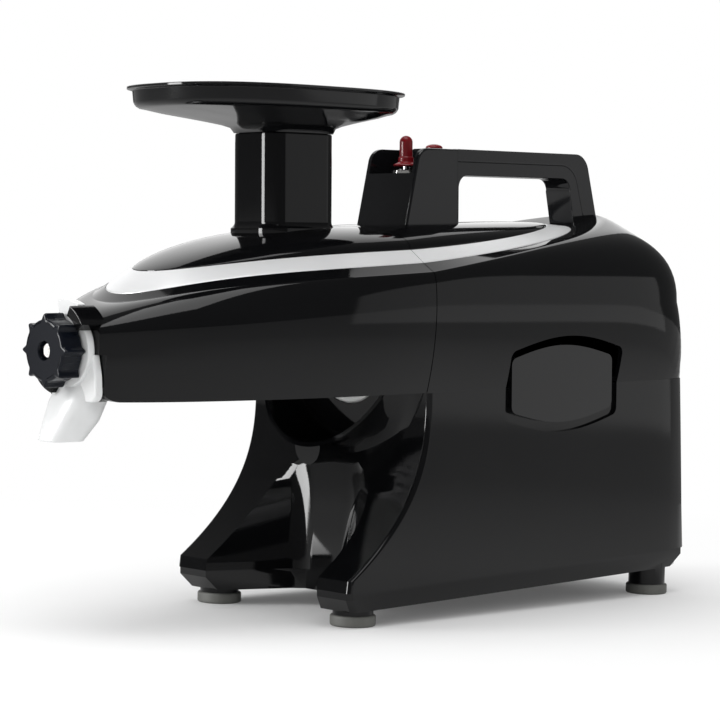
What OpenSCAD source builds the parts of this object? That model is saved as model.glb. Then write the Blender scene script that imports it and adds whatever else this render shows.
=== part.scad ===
// Horizontal twin-gear cold press juicer.
// Lengths run along X from the front feet (+X to the motor end), Y is across,
// with the badge on the -Y side, and Z is up from the front pads. The last step,
// stand(), tips the machine nose-down onto its four pads and centres it.

/* [Stance] */
// Distance from the front feet to the rear feet
foot_spacing = 269; // [240:1:280]
// Distance between the left and right feet
foot_track = 120; // [100:1:126]
// How much lower the rear pads stand under the body than the front ones
rear_drop = 7.7; // [0:0.1:12]
// Diameter of a rubber pad
pad_d = 27; // [20:0.5:32]
// Height of a rubber pad
pad_h = 6.5; // [5:0.5:7]
// Diameter of a foot post
post_d = 24; // [16:0.5:28]

/* [Base and lower housing] */
// Height of the base plate's underside
plate_z = 9.7; // [8:0.1:12]
// Height of the seam between base plate and lower housing
base_seam_z = 21.8; // [18:0.2:26]
// Reach of the legs in front of the front feet
leg_reach = 19.3; // [15:0.1:26]
// Height of the upright toe of each leg above the base seam
toe_h = 7; // [4:0.5:12]
// Half width of the body at the base seam
base_half_w = 77.5; // [70:0.5:80]
// Rear face of the body at the base seam
base_rear_x = 298; // [290:1:305]
// Height of the seam between lower and upper housing
mid_seam_z = 134.7; // [128:0.1:140]
// Front wall of the lower housing at the mid seam
front_wall_x = 44; // [40:0.5:50]
// Half width of the arched recess between the legs at the floor
recess_half_w = 50; // [40:1:56]
// Half width of the recess back wall
recess_back_w = 20; // [12:1:30]
// Position of the recess back wall
recess_back_x = 33; // [26:1:38]
// Height where the recess arch closes
recess_top_z = 99; // [90:1:104]
// Wall thickness of the housings
wall = 3.2; // [2.4:0.1:4]

/* [Upper body] */
// Position of the joint between juicing head and motor body
seam_x = 42; // [38:0.5:48]
// Half width at the mid seam
mid_half_w = 78.2; // [74:0.2:81]
// Largest half width of the body
max_half_w = 86; // [82:0.5:90]
// Height of the largest width
waist_z = 185; // [175:1:195]
// Rear face of the body at the mid seam
mid_rear_x = 292; // [286:1:300]
// Rear face of the body at the waist
waist_rear_x = 287; // [280:1:292]
// Height of the crease at the joint
crease_z = 206.4; // [202:0.2:210]
// Half width at the crease
crease_half_w = 82.3; // [80:0.1:84]
// Reach of the crease behind the joint
crease_reach = 228; // [215:1:236]
// Half width at the trim's outer edge
trim_out_w = 74.6; // [70:0.2:78]
// Half width at the trim's inner edge
trim_in_w = 63.5; // [58:0.2:67]
// Height of the trim's outer edge at the joint
trim_out_z = 211.3; // [209:0.1:214]
// Height of the trim's inner edge at the joint
trim_in_z = 219.1; // [217:0.1:222]
// Height of the raised top at the joint
crown_z = 232.7; // [228:0.1:236]
// Thickness of the inlaid trim
trim_t = 1.6; // [1:0.1:2.5]

/* [Juicing head] */
// Length of the head's ellipse ahead of the joint
head_reach = 206; // [202:1:214]
// Length of the oval beyond the flat nose
nose_cut = 48; // [44:1:52]
// Height of the drive shafts
drive_z = 159; // [156:0.5:162]
// Distance between the two gear axes
gear_pitch = 36; // [35:0.1:37]
// Length of the toothed part of the pressing gears
gear_len = 140; // [120:1:146]
// Teeth on each pressing gear
gear_teeth = 11; // [9:1:13]
// Bore of the gear chamber for each gear
chamber_d = 43; // [42.5:0.1:44]
// Position of the feed chute along the machine
chute_x = -2; // [-6:0.5:4]
// Length of the feed chute's outside
chute_l = 53; // [46:0.5:58]
// Width of the feed chute's outside
chute_w = 41; // [36:0.5:46]
// Height of the feed chute's mouth
chute_top_z = 287; // [276:1:292]
// Wall of the feed chute
chute_wall = 3; // [2.5:0.1:4]

/* [Hopper] */
// Half length of the hopper rim
hopper_half_l = 87; // [80:0.5:92]
// Half width of the hopper rim
hopper_half_w = 58; // [52:0.5:62]
// Height of the hopper rim
hopper_rim_z = 312.5; // [306:0.5:318]
// Centre of the hopper tray along the machine
hopper_x = -14.3; // [-20:0.1:-8]
// Depth of the tray's upright side
hopper_side_h = 12.5; // [9:0.5:16]
// Wall of the hopper
hopper_wall = 2.6; // [2:0.1:3.5]

/* [Outlet] */
// Height of the outlet knob's axis
knob_z = 163; // [160:0.5:166]
// From the nose to the face of the knob
knob_reach = 19.5; // [16:0.5:24]
// Tip diameter of the knob's lobes
knob_d = 41; // [36:0.5:44]
// Depth of the knob
knob_t = 13.5; // [11:0.5:14]
// Lobes on the knob
knob_lobes = 8; // [6:1:10]
// Outside diameter of the outlet casing
casing_d = 42; // [38:0.5:44]
// Travel of the plug that throttles the outlet
plug_travel = 4; // [2:0.5:5]

/* [Handle and switches] */
// Height of the handle's top
handle_top_z = 282.3; // [276:0.1:290]
// Width of the carry handle
handle_w = 22; // [18:0.5:26]
// Height of the grip
grip_h = 16.5; // [13:0.5:20]
// Rear end of the handle's flat top
handle_rear_x = 250; // [240:1:256]
// Width of the switch tower
tower_w = 44.8; // [40:0.2:50]
// Thickness of a tower cheek
cheek_t = 3.6; // [2.6:0.1:5]
// Front of the tower at its foot
tower_x = 77.8; // [72:0.2:82]
// Rear face of the tower
tower_rear_x = 125.5; // [118:0.5:130]
// Rear end of the tower's narrow core, where the handle starts
core_rear_x = 134; // [130:0.5:138]
// Height of the switch platform between the cheeks
platform_z = 266; // [260:0.5:270]
// Position of the toggle switch
toggle_x = 101; // [98:0.5:104]
// Swing of the toggle to each side, in degrees
toggle_swing = 10; // [6:1:12]
// Height of the toggle boot's tip above the platform
toggle_h = 23.8; // [20:0.2:28]
// Diameter of the push button
button_d = 10.8; // [8:0.2:12]
// Travel of the push button
button_travel = 2; // [1:0.1:2.4]

/* [Drive train] */
// Height of the motor shaft
motor_z = 80; // [78:0.5:82]
// Diameter of the motor's stator
stator_d = 96; // [86:1:100]
// Length of the stator stack
stator_l = 64; // [50:1:70]
// Diameter of the rotor
rotor_d = 52; // [44:1:56]
// Diameter of the motor shaft
motor_shaft_d = 10; // [8:0.5:12]
// Diameter of the drive shafts
drive_shaft_d = 14; // [12:0.5:16]
// Teeth on the motor pinion
pinion_teeth = 12; // [12:1:12]
// Teeth on the intermediate wheel
wheel_teeth = 50; // [50:1:50]
// Module of the first gear stage
stage1_module = 1.25; // [1.2:0.01:1.28]
// Teeth on the intermediate pinion
second_teeth = 14; // [14:1:14]
// Teeth on the output wheel
output_teeth = 49; // [49:1:49]
// Face width of the reduction gears
reduction_w = 11; // [8:0.5:12]

/* [Badge] */
// Length of the badge recess
badge_l = 106; // [90:1:110]
// Position of the badge centre along the body
badge_x = 163.5; // [158:0.5:172]
// Height of the badge centre
badge_z = 136; // [132:0.5:140]

/* [Hidden] */
$fn = 64;
// Clearance between pieces of different bodies
gap = 0.3;
// Clearance of a shaft in its bore
run_fit = 0.05;
// Clearance of an inlaid piece in its rebate
inlay_fit = 0.15;
// Clearance of an inlaid piece over the floor it is stuck to
rest_fit = 0.02;

half_track = foot_track / 2;
gear_half = gear_pitch / 2;
tip_angle = asin(rear_drop / foot_spacing);
// Highest front point and lowest rear point after tipping give the centre
nose_x = head_reach - nose_cut;
knob_face_x = nose_x + knob_reach;
front_tip_x = -knob_face_x * cos(tip_angle) - (knob_z + knob_d / 2) * sin(tip_angle);
rear_tip_x = base_rear_x * cos(tip_angle) - base_seam_z * sin(tip_angle);
centre_x = (front_tip_x + rear_tip_x) / 2;

// ---------- placing ----------

module stand() {
    translate([-centre_x, 0, 0]) rotate([0, -tip_angle, 0]) children();
}

// A point of the machine's frame, in the standing frame
function standing(p) = [p[0] * cos(tip_angle) - p[2] * sin(tip_angle) - centre_x, p[1],
                        p[0] * sin(tip_angle) + p[2] * cos(tip_angle)];

// Lays a shape drawn along Z down along +X
module along_x(x = 0, y = 0, z = 0) {
    translate([x, y, z]) rotate([0, 90, 0]) children();
}

// Extrudes an outline drawn in X and Z across the machine, centred on y
module across(width, y = 0) {
    translate([0, y + width / 2, 0]) rotate([90, 0, 0]) linear_extrude(width) children();
}

// ---------- curves ----------

// Distance to an ellipse with semi-axes a (along) and w (across), at an angle from the side
function ellipse_r(a, w, ang) = 1 / sqrt(pow(sin(ang) / a, 2) + pow(cos(ang) / w, 2));

// The same for a superellipse of exponent n, which is a rounded rectangle for a large n
function box_r(a, w, ang, n) =
    pow(pow(abs(sin(ang)) / a, n) + pow(abs(cos(ang)) / w, n), -1 / n);

// Points of an arc in a plane
function arc(cx, cy, r, from, to, steps = 6) =
    [for (i = [0 : steps]) let (t = from + (to - from) * i / steps) [cx + r * cos(t), cy + r * sin(t)]];

function mix(a, b, t) = a + (b - a) * t;

// A round post or bore as a many-sided prism, from its start along its axis
module prism(r, h, sides = 72) {
    linear_extrude(h) polygon([for (i = [0 : sides - 1]) let (t = 360 * (i + 0.37) / sides) [r * cos(t), r * sin(t)]]);
}

// Faces of a half shell: rows of points from side to side, a point on top, a flat floor and a flat end.
// The row named by fold sits above the one after it, so the end is cut round it
strips = 14;

function shell_faces(rows, cols, fold) = let (top = rows * cols, e = cols - 1) concat(
    [for (i = [0 : rows - 2], j = [0 : cols - 2]) [i * cols + j, (i + 1) * cols + j, (i + 1) * cols + j + 1]],
    [for (i = [0 : rows - 2], j = [0 : cols - 2]) [i * cols + j, (i + 1) * cols + j + 1, i * cols + j + 1]],
    [for (j = [0 : cols - 2]) [(rows - 1) * cols + j, top, (rows - 1) * cols + j + 1]],
    [for (j = [0 : strips - 1]) [j, j + 1, e - j - 1, e - j]],
    [[for (j = [strips : e - strips]) j]],
    [for (i = [0 : rows - 2]) let (m = i + 1 == fold ? i + 2 : i + 1)
        if (i != fold) [i * cols + e, m * cols + e, m * cols, i * cols]],
    fold < 0 ? [] : let (i = fold - 1) [[i * cols + e, (i + 1) * cols + e, (i + 2) * cols + e],
        [(i + 2) * cols, (i + 1) * cols, i * cols]],
    [[(rows - 1) * cols + e, top, (rows - 1) * cols]]);

module half_shell(rows, top, fold = -1) {
    polyhedron(points = concat([for (row = rows) each row], [top]),
               faces = shell_faces(len(rows), len(rows[0]), fold), convexity = 6);
}

// Faces of closed rings stacked from first to last, with both ends capped
function ring_faces(rings, cols) = concat(
    [for (i = [0 : rings - 2], j = [0 : cols - 1]) let (k = (j + 1) % cols)
        [i * cols + j, (i + 1) * cols + j, (i + 1) * cols + k]],
    [for (i = [0 : rings - 2], j = [0 : cols - 1]) let (k = (j + 1) % cols)
        [i * cols + j, (i + 1) * cols + k, i * cols + k]],
    [[for (j = [0 : cols - 1]) j]],
    [[for (j = [cols - 1 : -1 : 0]) (rings - 1) * cols + j]]);

// Rings run counter-clockwise from above; they are put in rising order first
module ring_loft(rings) {
    last = len(rings) - 1;
    rising = rings[0][0][2] < rings[last][0][2];
    polyhedron(points = [for (i = [0 : last]) each rings[rising ? i : last - i]],
               faces = ring_faces(last + 1, len(rings[0])), convexity = 6);
}

// Rings joined in a loop, up the outside and down the inside
module ring_tube(rings) {
    n = len(rings);
    cols = len(rings[0]);
    polyhedron(points = [for (ring = rings) each ring], convexity = 6, faces = [for (i = [0 : n - 1], j = [0 : cols - 1])
        let (m = (i + 1) % n, k = (j + 1) % cols)
        each [[i * cols + j, m * cols + j, m * cols + k], [i * cols + j, m * cols + k, i * cols + k]]]);
}

// ---------- motor body skin ----------

body_cols = 44;
// Angles from the near side round the rear to the far side
body_rays = [for (i = [0 : body_cols]) let (t = 180 * i / body_cols)
    t == 90 ? 90 : t < 90 ? atan((waist_rear_x - seam_x) / max_half_w * tan(t))
                 : 180 - atan((waist_rear_x - seam_x) / max_half_w * tan(180 - t))];

side_taper = 0.035;

rear_bow = 1.6;

// A point at a distance and angle round the joint, pulled in towards the rear; the rear end bows out
function body_point(r, ang, z) =
    let (back = r * sin(ang), side = r * cos(ang), share = back / (waist_rear_x - seam_x))
    [seam_x + back - rear_bow * pow(share * side / max_half_w, 2), -side * (1 - side_taper * pow(share, 1.4)), z];

// Rise of a line that runs back from the joint, at a distance behind it
function rise(d, slope, bow) = slope * d + bow * d * d;

function crease_r(ang, inset = 0) = ellipse_r(crease_reach - 2 * inset, crease_half_w - inset, ang);
function crease_height(ang) = crease_z + rise(crease_r(ang) * sin(ang), 0.13, 0.00013);
function trim_out_r(ang, inset = 0) = ellipse_r(crease_reach - 28 - 2 * inset, trim_out_w - inset, ang);
function trim_out_height(ang) = trim_out_z + rise(trim_out_r(ang) * sin(ang), 0.085, 0.00016);
function trim_in_r(ang, inset = 0) = ellipse_r(crease_reach - 50 - 2 * inset, trim_in_w - inset, ang);
function trim_in_height(ang) = trim_in_z + rise(trim_in_r(ang) * sin(ang), 0.06, 0.0002);

shoulder_steps = 6;
dome_steps = 6;
dome_power = 2.3;

function dome_share(f, power) = pow(1 - pow(f, dome_power), 1 / power);

// Height and plan distance of the waist row
function waist_r(ang, inset = 0) =
    box_r(waist_rear_x - seam_x - 2 * inset, max_half_w - inset, ang, 12);

function side_row(z, half_w, rear_x, n, inset) =
    [for (a = body_rays) body_point(box_r(rear_x - seam_x - 2 * inset, half_w - inset, a, n), a, z)];

// Rows from the floor up over the shoulder to the crown; inset gives the inner skin
function body_rows(floor_z, inset = 0) = concat(
    [side_row(floor_z, mid_half_w, mid_rear_x, 22, 1.3 * inset)],
    [side_row(mix(mid_seam_z, waist_z, 0.35), mix(mid_half_w, max_half_w, 0.55),
              mix(mid_rear_x, waist_rear_x, 0.3), 18, inset)],
    [side_row(mix(mid_seam_z, waist_z, 0.7), mix(mid_half_w, max_half_w, 0.9),
              mix(mid_rear_x, waist_rear_x, 0.65), 14, inset)],
    [for (k = [0 : shoulder_steps]) let (t = 90 * k / shoulder_steps) [for (a = body_rays)
        let (outer = waist_r(a, inset), inner = crease_r(a, inset),
             share = pow(cos(t), 2 / dome_power), lift = pow(sin(t), 2 / dome_power))
        body_point(inner + (outer - inner) * share, a,
                   waist_z + (crease_height(a) - inset - waist_z) * lift)]]);

function trim_row(inset, z_add, outer) = [for (a = body_rays)
    body_point(outer ? trim_out_r(a, inset) : trim_in_r(a, inset), a,
               (outer ? trim_out_height(a) : trim_in_height(a)) + z_add)];

function crown_rows(inset = 0) = [for (k = [1 : dome_steps - 1])
    let (f = cos(90 * k / dome_steps), g = dome_share(f, dome_power))
    [for (a = body_rays) body_point(trim_in_r(a, inset) * f, a,
        mix(trim_in_height(a), crown_z + 6 * f * sin(a), g) - inset)]];

module body_skin() {
    half_shell(concat(body_rows(mid_seam_z),
        [trim_row(0, 0, true), trim_row(0, -trim_t, true),
         trim_row(0, -trim_t, false), trim_row(0, 0, false)],
        crown_rows()), [seam_x, 0, crown_z], 10);
}

// The hollow inside the upper housing, open below
module body_hollow() {
    translate([wall, 0, 0]) half_shell(concat(body_rows(mid_seam_z - 9, wall),
        [trim_row(wall, -trim_t - wall, true), trim_row(wall, -trim_t - wall, false)],
        crown_rows(wall + trim_t)), [seam_x, 0, crown_z - wall - trim_t]);
}

// ---------- head skin ----------

head_cols = 44;
head_rays = [for (i = [0 : head_cols]) let (t = 180 * i / head_cols)
    t == 90 ? 90 : t < 90 ? atan(head_reach / max_half_w * tan(t))
                 : 180 - atan(head_reach / max_half_w * tan(180 - t))];
head_end_x = seam_x - 0.6;

function head_point(r, ang, z) = [head_end_x - r * sin(ang), r * cos(ang), z];

// Share of the way from the joint to the tip of an ellipse, for the fall towards the nose
function nose_share(r, a, ang) = r * sin(ang) / a;

function head_row(a, w, z_joint, z_tip) = [for (ang = head_rays)
    let (r = ellipse_r(a, w, ang)) head_point(r, ang, mix(z_joint, z_tip, nose_share(r, a, ang)))];

head_trim_out = head_reach - 39;
head_trim_in = head_reach - 57;
trim_out_tip_z = trim_out_z - 8.6;
trim_in_tip_z = trim_in_z - 6.1;

function head_side_rows(floor_z, inset, more = 0) = [
    head_row(head_reach + more - inset, mid_half_w - 1.3 * inset, floor_z + gap, floor_z + gap),
    head_row(head_reach + more + 1 - inset, mix(mid_half_w, max_half_w, 0.34) - inset, 147, 147),
    head_row(head_reach + more + 2 - inset, mix(mid_half_w, max_half_w, 0.7) - inset, 161, 160),
    head_row(head_reach + more + 2 - inset, mix(mid_half_w, max_half_w, 0.92) - inset, 172, 170),
    head_row(head_reach + more + 2 - inset, max_half_w - inset, waist_z, 181),
    head_row(head_reach + more + 1 - inset, max_half_w - 0.6 - inset, waist_z + 8 - inset / 2, 187 - inset / 2),
    head_row(head_reach + more - inset, max_half_w - 1.9 - inset, waist_z + 15 - inset, 192 - inset),
    head_row(head_reach + more - 4 - inset, crease_half_w - inset, crease_z - inset, 196 - inset)];

function head_crown_rows(inset = 0, more = 0) = [for (k = [1 : dome_steps - 1])
    let (f = cos(90 * k / dome_steps))
    [for (ang = head_rays)
        let (r = ellipse_r(head_trim_in + more, trim_in_w, ang), s = nose_share(r, head_trim_in + more, ang),
             g = dome_share(f, mix(dome_power, 1.1, s)))
        head_point((r - inset) * f, ang, mix(mix(trim_in_z, trim_in_tip_z, s), crown_z, g) - inset)]];

module head_skin() {
    half_shell(concat(head_side_rows(mid_seam_z, 0),
        [head_row(head_trim_out, trim_out_w, trim_out_z, trim_out_tip_z),
         head_row(head_trim_out, trim_out_w, trim_out_z - trim_t, trim_out_tip_z - trim_t),
         head_row(head_trim_in, trim_in_w, trim_in_z - trim_t, trim_in_tip_z - trim_t),
         head_row(head_trim_in, trim_in_w, trim_in_z, trim_in_tip_z)],
        head_crown_rows()), [head_end_x, 0, crown_z], 8);
}

// The hollow of the head starts behind its end and stops short of the nose
module head_hollow() {
    more = 14;
    intersection() {
        translate([more, 0, 0]) half_shell(concat(head_side_rows(mid_seam_z - 9, wall, more),
            [head_row(head_trim_out + more - wall, trim_out_w - wall, trim_out_z - trim_t - wall,
                      trim_out_tip_z - trim_t - wall),
             head_row(head_trim_in + more - wall, trim_in_w - wall, trim_in_z - trim_t - wall,
                      trim_in_tip_z - trim_t - wall)],
            head_crown_rows(wall + trim_t, more)), [head_end_x, 0, crown_z - wall - trim_t]);
        translate([wall + 3 - nose_x, -100, 100]) cube([300, 200, 200]);
    }
}

// ---------- lower housing ----------

leg_steps = 9;
leg_power = 2.6;
toe_z = base_seam_z + toe_h;

// Front edge of the legs at a height
function leg_front_x(z) = z <= toe_z
    ? mix(-leg_reach, -leg_reach + 1, (z - base_seam_z) / toe_h)
    : front_wall_x - (front_wall_x + leg_reach - 1)
        * pow(1 - (z - toe_z) / (mid_seam_z - toe_z), leg_power);

leg_heights = concat([base_seam_z, toe_z],
    [for (i = [1 : leg_steps]) mix(toe_z, mid_seam_z, pow(i / leg_steps, 1.25))]);

toe_round = 3;
// The rays that meet the sides behind the front wall
lower_rays = [for (i = [2 : body_cols - 2]) body_rays[i]];

function lower_ring(z) =
    let (t = (z - base_seam_z) / (mid_seam_z - base_seam_z), w = mix(base_half_w, mid_half_w, t),
         rear = mix(base_rear_x, mid_rear_x, t), x = leg_front_x(z))
    concat([for (a = lower_rays) body_point(box_r(rear - seam_x, w, a, 24), a, z)],
        [[x + toe_round, w, z], [x + 0.3 * toe_round, w - 0.3 * toe_round, z], [x, w - toe_round, z],
         [x, toe_round - w, z], [x + 0.3 * toe_round, 0.3 * toe_round - w, z], [x + toe_round, -w, z]]);

// Half width of the arched recess at a height
function recess_w(z) = let (t = max(0, (z - toe_z) / (recess_top_z - toe_z)))
    12 + (recess_half_w - 12) * pow(max(0, 1 - pow(t, 2.4)), 0.6);

recess_steps = 9;

function recess_ring(z) =
    let (t = (z - plate_z) / (recess_top_z - plate_z), back = mix(recess_back_x, front_wall_x - 5, t),
         x = min(leg_front_x(max(z, base_seam_z)), back - 3), w = recess_w(z),
         back_w = min(mix(recess_back_w, 24, t), w - 2))
    [[-leg_reach - 60, w, z], [-leg_reach - 60, -w, z], [x, -w, z],
     [mix(x, back, 0.88), -mix(w, back_w, 0.88), z], [back, 3.5 - back_w, z], [back, back_w - 3.5, z],
     [mix(x, back, 0.88), mix(w, back_w, 0.88), z], [x, w, z]];

module recess_cut(from_z) {
    ring_loft([for (i = [recess_steps : -1 : 0]) recess_ring(mix(from_z, recess_top_z, i / recess_steps))]);
}

collar_r = 59.5;
collar_wall = 2.6;
collar_flare_r = 76;
collar_lean = 23.6;

// Solid of revolution about the drive axis: flared outside of the collar
module collar_flare() {
    along_x(0, 0, drive_z) rotate_extrude($fn = 96) polygon(concat(
        [[0, 10], [collar_r, 10]], arc(collar_r + 17, 26, 17, 180, 90, 5),
        [[collar_flare_r + 2, 47], [0, 47]]));
}

// Everything behind the sloping mouth of the collar
module behind_mouth() {
    translate([seam_x, 0, drive_z]) rotate([0, collar_lean, 0]) translate([0, -120, -160]) cube([200, 240, 320]);
}

bay_x = front_wall_x + 14;
bay_half_w = mid_half_w * (1 - side_taper) - wall;
bay_rear_x = mid_rear_x - 2 * wall;

module lower_housing() color([0.1, 0.1, 0.11]) stand() {
    difference() {
        union() {
            ring_loft([for (z = leg_heights) lower_ring(z)]);
            intersection() {
                collar_flare();
                behind_mouth();
                translate([0, -100, 80]) cube([front_wall_x + 3, 200, mid_seam_z - 80]);
            }
            drip_tongue();
        }
        recess_cut(base_seam_z - 1);
        along_x(-10, 0, drive_z) cylinder(r = collar_r - collar_wall, h = bay_x + 12);
        // Motor bay, open below and above
        translate([bay_x, -bay_half_w, base_seam_z - 1]) cube([bay_rear_x - bay_x, 2 * bay_half_w, mid_seam_z]);
        badge_recess();
        inlet_hole();
    }
    // Shelf of the capacitor
    translate([capacitor_x + 5, capacitor_y - 14, shelf_z - 6]) cube([46, bay_half_w - capacitor_y + 14.5, 6]);
}

module drip_tongue() {
    intersection() {
        along_x(21, 0, drive_z - collar_r) cylinder(r = 11, h = front_wall_x - 21 + 2, $fn = 48);
        translate([10, -20, 80]) cube([60, 40, drive_z - collar_r - 79]);
    }
}

// ---------- base ----------

chamfer = 3.6;

function plate_ring(z, inset) = concat(
    [for (a = lower_rays) body_point(box_r(base_rear_x - seam_x - inset, base_half_w - inset, a, 24), a, z)],
    let (x = -leg_reach + 1.8 * inset, w = base_half_w - inset)
    [[x + toe_round, w, z], [x, w - toe_round, z], [x, toe_round - w, z], [x + toe_round, -w, z]]);

screw_places = [for (x = [26, 106, 176, 244], s = [-1, 1]) [x, s * 67.5]];
vent_slots = 7;

module base_plate() color([0.09, 0.09, 0.1]) {
    difference() {
        union() {
            stand() difference() {
                ring_loft([plate_ring(base_seam_z, 0), plate_ring(base_seam_z - 4, 0), plate_ring(plate_z, chamfer)]);
                recess_cut(plate_z - 1);
                // The plate is a tray: its inside is hollow above a floor
                translate([bay_x, -base_half_w + 14.5, plate_z + wall])
                    cube([bay_rear_x - bay_x, 2 * base_half_w - 29, base_seam_z]);
                for (i = [0 : vent_slots - 1])
                    translate([150 + 12 * i, -28, plate_z - 1]) cube([5, 56, 2 * wall]);
            }
            for (p = foot_points) translate([p[0], p[1], pad_h]) cylinder(d = post_d, h = p[2] - pad_h);
        }
        stand() for (p = screw_places) {
            translate([p[0], p[1], plate_z - 1]) cylinder(d = 7.4, h = 4);
            translate([p[0], p[1], plate_z - 1]) cylinder(d = 3.6, h = 20);
        }
        for (p = foot_points) translate([p[0], p[1], pad_h - 1]) cylinder(d = foot_pin_d, h = foot_pin_h + 1);
    }
}

foot_pin_d = 8;
foot_pin_h = 1.6;

// Foot centres on the ground, with the height where each post enters the plate
foot_points = [for (x = [0, foot_spacing], s = [-1, 1])
    let (top = standing([x, s * half_track, plate_z + 3]),
         ground = standing([x, s * half_track, x == 0 ? 0 : -rear_drop]))
    [ground[0], ground[1], top[2]]];

module rubber_feet() color([0.6, 0.61, 0.58]) for (p = foot_points) translate([p[0], p[1], 0]) {
    rotate_extrude() polygon([[0, 0], [pad_d / 2 - 1, 0], [pad_d / 2, 1], [pad_d / 2, pad_h - 0.8],
        [pad_d / 2 - 0.8, pad_h], [foot_pin_d / 2, pad_h], [foot_pin_d / 2, pad_h + foot_pin_h], [0, pad_h + foot_pin_h]]);
}

module base_screws() color([0.75, 0.75, 0.77]) stand() for (p = screw_places) translate([p[0], p[1], 0]) {
    translate([0, 0, plate_z + 0.6]) cylinder(d = 7, h = 2.4);
    translate([0, 0, plate_z + 2.9]) cylinder(d = 3.6, h = base_seam_z - plate_z - 3.5);
}

// ---------- badge ----------

// Outline of the badge: upright sides and bowed ends
function badge_outline(inset) = let (l = badge_l / 2 - inset, h = 21 - 0.8 * inset, bow = 9 - 0.2 * inset)
    concat([for (i = [0 : 12]) let (t = i / 12) [mix(-l, l, t), -h - bow * sin(180 * t)]],
           [for (i = [0 : 12]) let (t = i / 12) [mix(l, -l, t), h + bow * sin(180 * t)]]);

badge_face_y = mid_half_w - 1.6;

module badge_recess() {
    translate([badge_x, -badge_face_y + 2.4, badge_z]) rotate([90, 0, 0]) linear_extrude(20) polygon(badge_outline(0));
}

module badge_plate() color([0.12, 0.12, 0.13]) stand()
    translate([badge_x, -badge_face_y + 2.4, badge_z]) rotate([90, 0, 0]) linear_extrude(3.2) polygon(badge_outline(6));

// ---------- inlet ----------

inlet_w = 28;
inlet_h = 20;
inlet_z = 48;
inlet_x = bay_rear_x;

function inlet_outline(e) = let (w = inlet_w / 2 + e, h = inlet_h / 2 + e)
    [[-w, -h], [w, -h], [w, h - 6], [w - 6, h], [6 - w, h], [-w, h - 6]];

module inlet_hole() {
    translate([inlet_x - 1, 0, inlet_z]) rotate([90, 0, 90]) linear_extrude(40) polygon(inlet_outline(0.2));
}

module mains_inlet() color([0.14, 0.14, 0.15]) stand()
    translate([inlet_x, 0, inlet_z]) rotate([90, 0, 90]) difference() {
        union() {
            linear_extrude(10.8) polygon(inlet_outline(0));
            translate([0, 0, -3]) linear_extrude(3) square([inlet_w + 12, inlet_h + 8], center = true);
        }
        translate([0, 0, 1]) linear_extrude(30) polygon(inlet_outline(-2.5));
    }

// ---------- upper housing and trims ----------

pocket_fit = 0.3;
pocket_z = 222;

// Solid seats left inside the hollow under the tower and the handle's rear leg
module body_seats() {
    translate([tower_x - 4, -tower_w / 2 - 4, pocket_z - 5])
        cube([window_front_x - tower_x + 8, tower_w + 8, 40]);
    translate([leg_in_x(leg_seat_z) - 5, -handle_w / 2 - 4, leg_seat_z - 5])
        cube([leg_depth + 10, handle_w + 8, 40]);
    // Backing of the badge
    translate([badge_x - badge_l / 2 - 4, -max_half_w - 4, mid_seam_z - 10])
        cube([badge_l + 8, max_half_w + 4 - badge_face_y + 2.4 + wall, badge_z + 33 - mid_seam_z + 10]);
}

module upper_housing() color([0.1, 0.1, 0.11]) stand() difference() {
    body_skin();
    difference() {
        body_hollow();
        body_seats();
    }
    // Front opening that clears the drive collar
    along_x(seam_x - 10, 0, drive_z) prism(collar_r - collar_wall, 40, 96);
    // Pockets of the switch tower and of the handle's two legs
    translate([tower_x - pocket_fit, -tower_w / 2 - pocket_fit, pocket_z])
        cube([tower_rear_x - tower_x + 2 * pocket_fit, tower_w + 2 * pocket_fit, 40]);
    translate([tower_rear_x - 5, -handle_w / 2 - pocket_fit, pocket_z])
        cube([window_front_x - tower_rear_x + 5 + pocket_fit, handle_w + 2 * pocket_fit, 40]);
    across(handle_w + 2 * pocket_fit) polygon([
        [leg_in_x(leg_seat_z) - pocket_fit, leg_seat_z], [leg_out_x(leg_seat_z) + pocket_fit, leg_seat_z],
        [leg_out_x(leg_seat_z + 35) + pocket_fit, leg_seat_z + 35],
        [leg_in_x(leg_seat_z + 35) - pocket_fit, leg_seat_z + 35]]);
    badge_recess();
}

// A strip that lies in the rebate between the trim's edges
module trim_strip(out_top, in_top, out_low, in_low) {
    n = len(out_top);
    polyhedron(points = [for (i = [0 : n - 1]) each [out_top[i], in_top[i], in_low[i], out_low[i]]],
        faces = concat([[0, 1, 2, 3]], [[4 * n - 1, 4 * n - 2, 4 * n - 3, 4 * n - 4]],
            [for (i = [0 : n - 2], k = [0 : 3]) let (a = 4 * i + k, b = 4 * i + (k + 1) % 4) [a, a + 4, b]],
            [for (i = [0 : n - 2], k = [0 : 3]) let (a = 4 * i + k, b = 4 * i + (k + 1) % 4) [a + 4, b + 4, b]]));
}

function shifted(row, dz) = [for (p = row) [p[0], p[1], p[2] + dz]];
function mix_rows(a, b, t) = [for (i = [0 : len(a) - 1]) a[i] + (b[i] - a[i]) * t];
trim_share = inlay_fit / (trim_out_w - trim_in_w);

// The strip between two edges of the rebate, a little narrower and just proud
module inlay(out_row, in_row) {
    out_edge = mix_rows(out_row, in_row, trim_share);
    in_edge = mix_rows(in_row, out_row, trim_share);
    trim_strip(shifted(out_edge, 0.2), shifted(in_edge, 0.2),
               shifted(out_edge, rest_fit - trim_t), shifted(in_edge, rest_fit - trim_t));
}

module body_trim() color([0.92, 0.93, 0.94]) stand() inlay(trim_row(0, 0, true), trim_row(0, 0, false));

module head_trim() color([0.92, 0.93, 0.94]) stand() inlay(
    head_row(head_trim_out, trim_out_w, trim_out_z, trim_out_tip_z),
    head_row(head_trim_in, trim_in_w, trim_in_z, trim_in_tip_z));

// ---------- switch tower and handle ----------

tower_top_x = 98.8;
recess_end_x = 112;
tower_round = 10;

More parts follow.
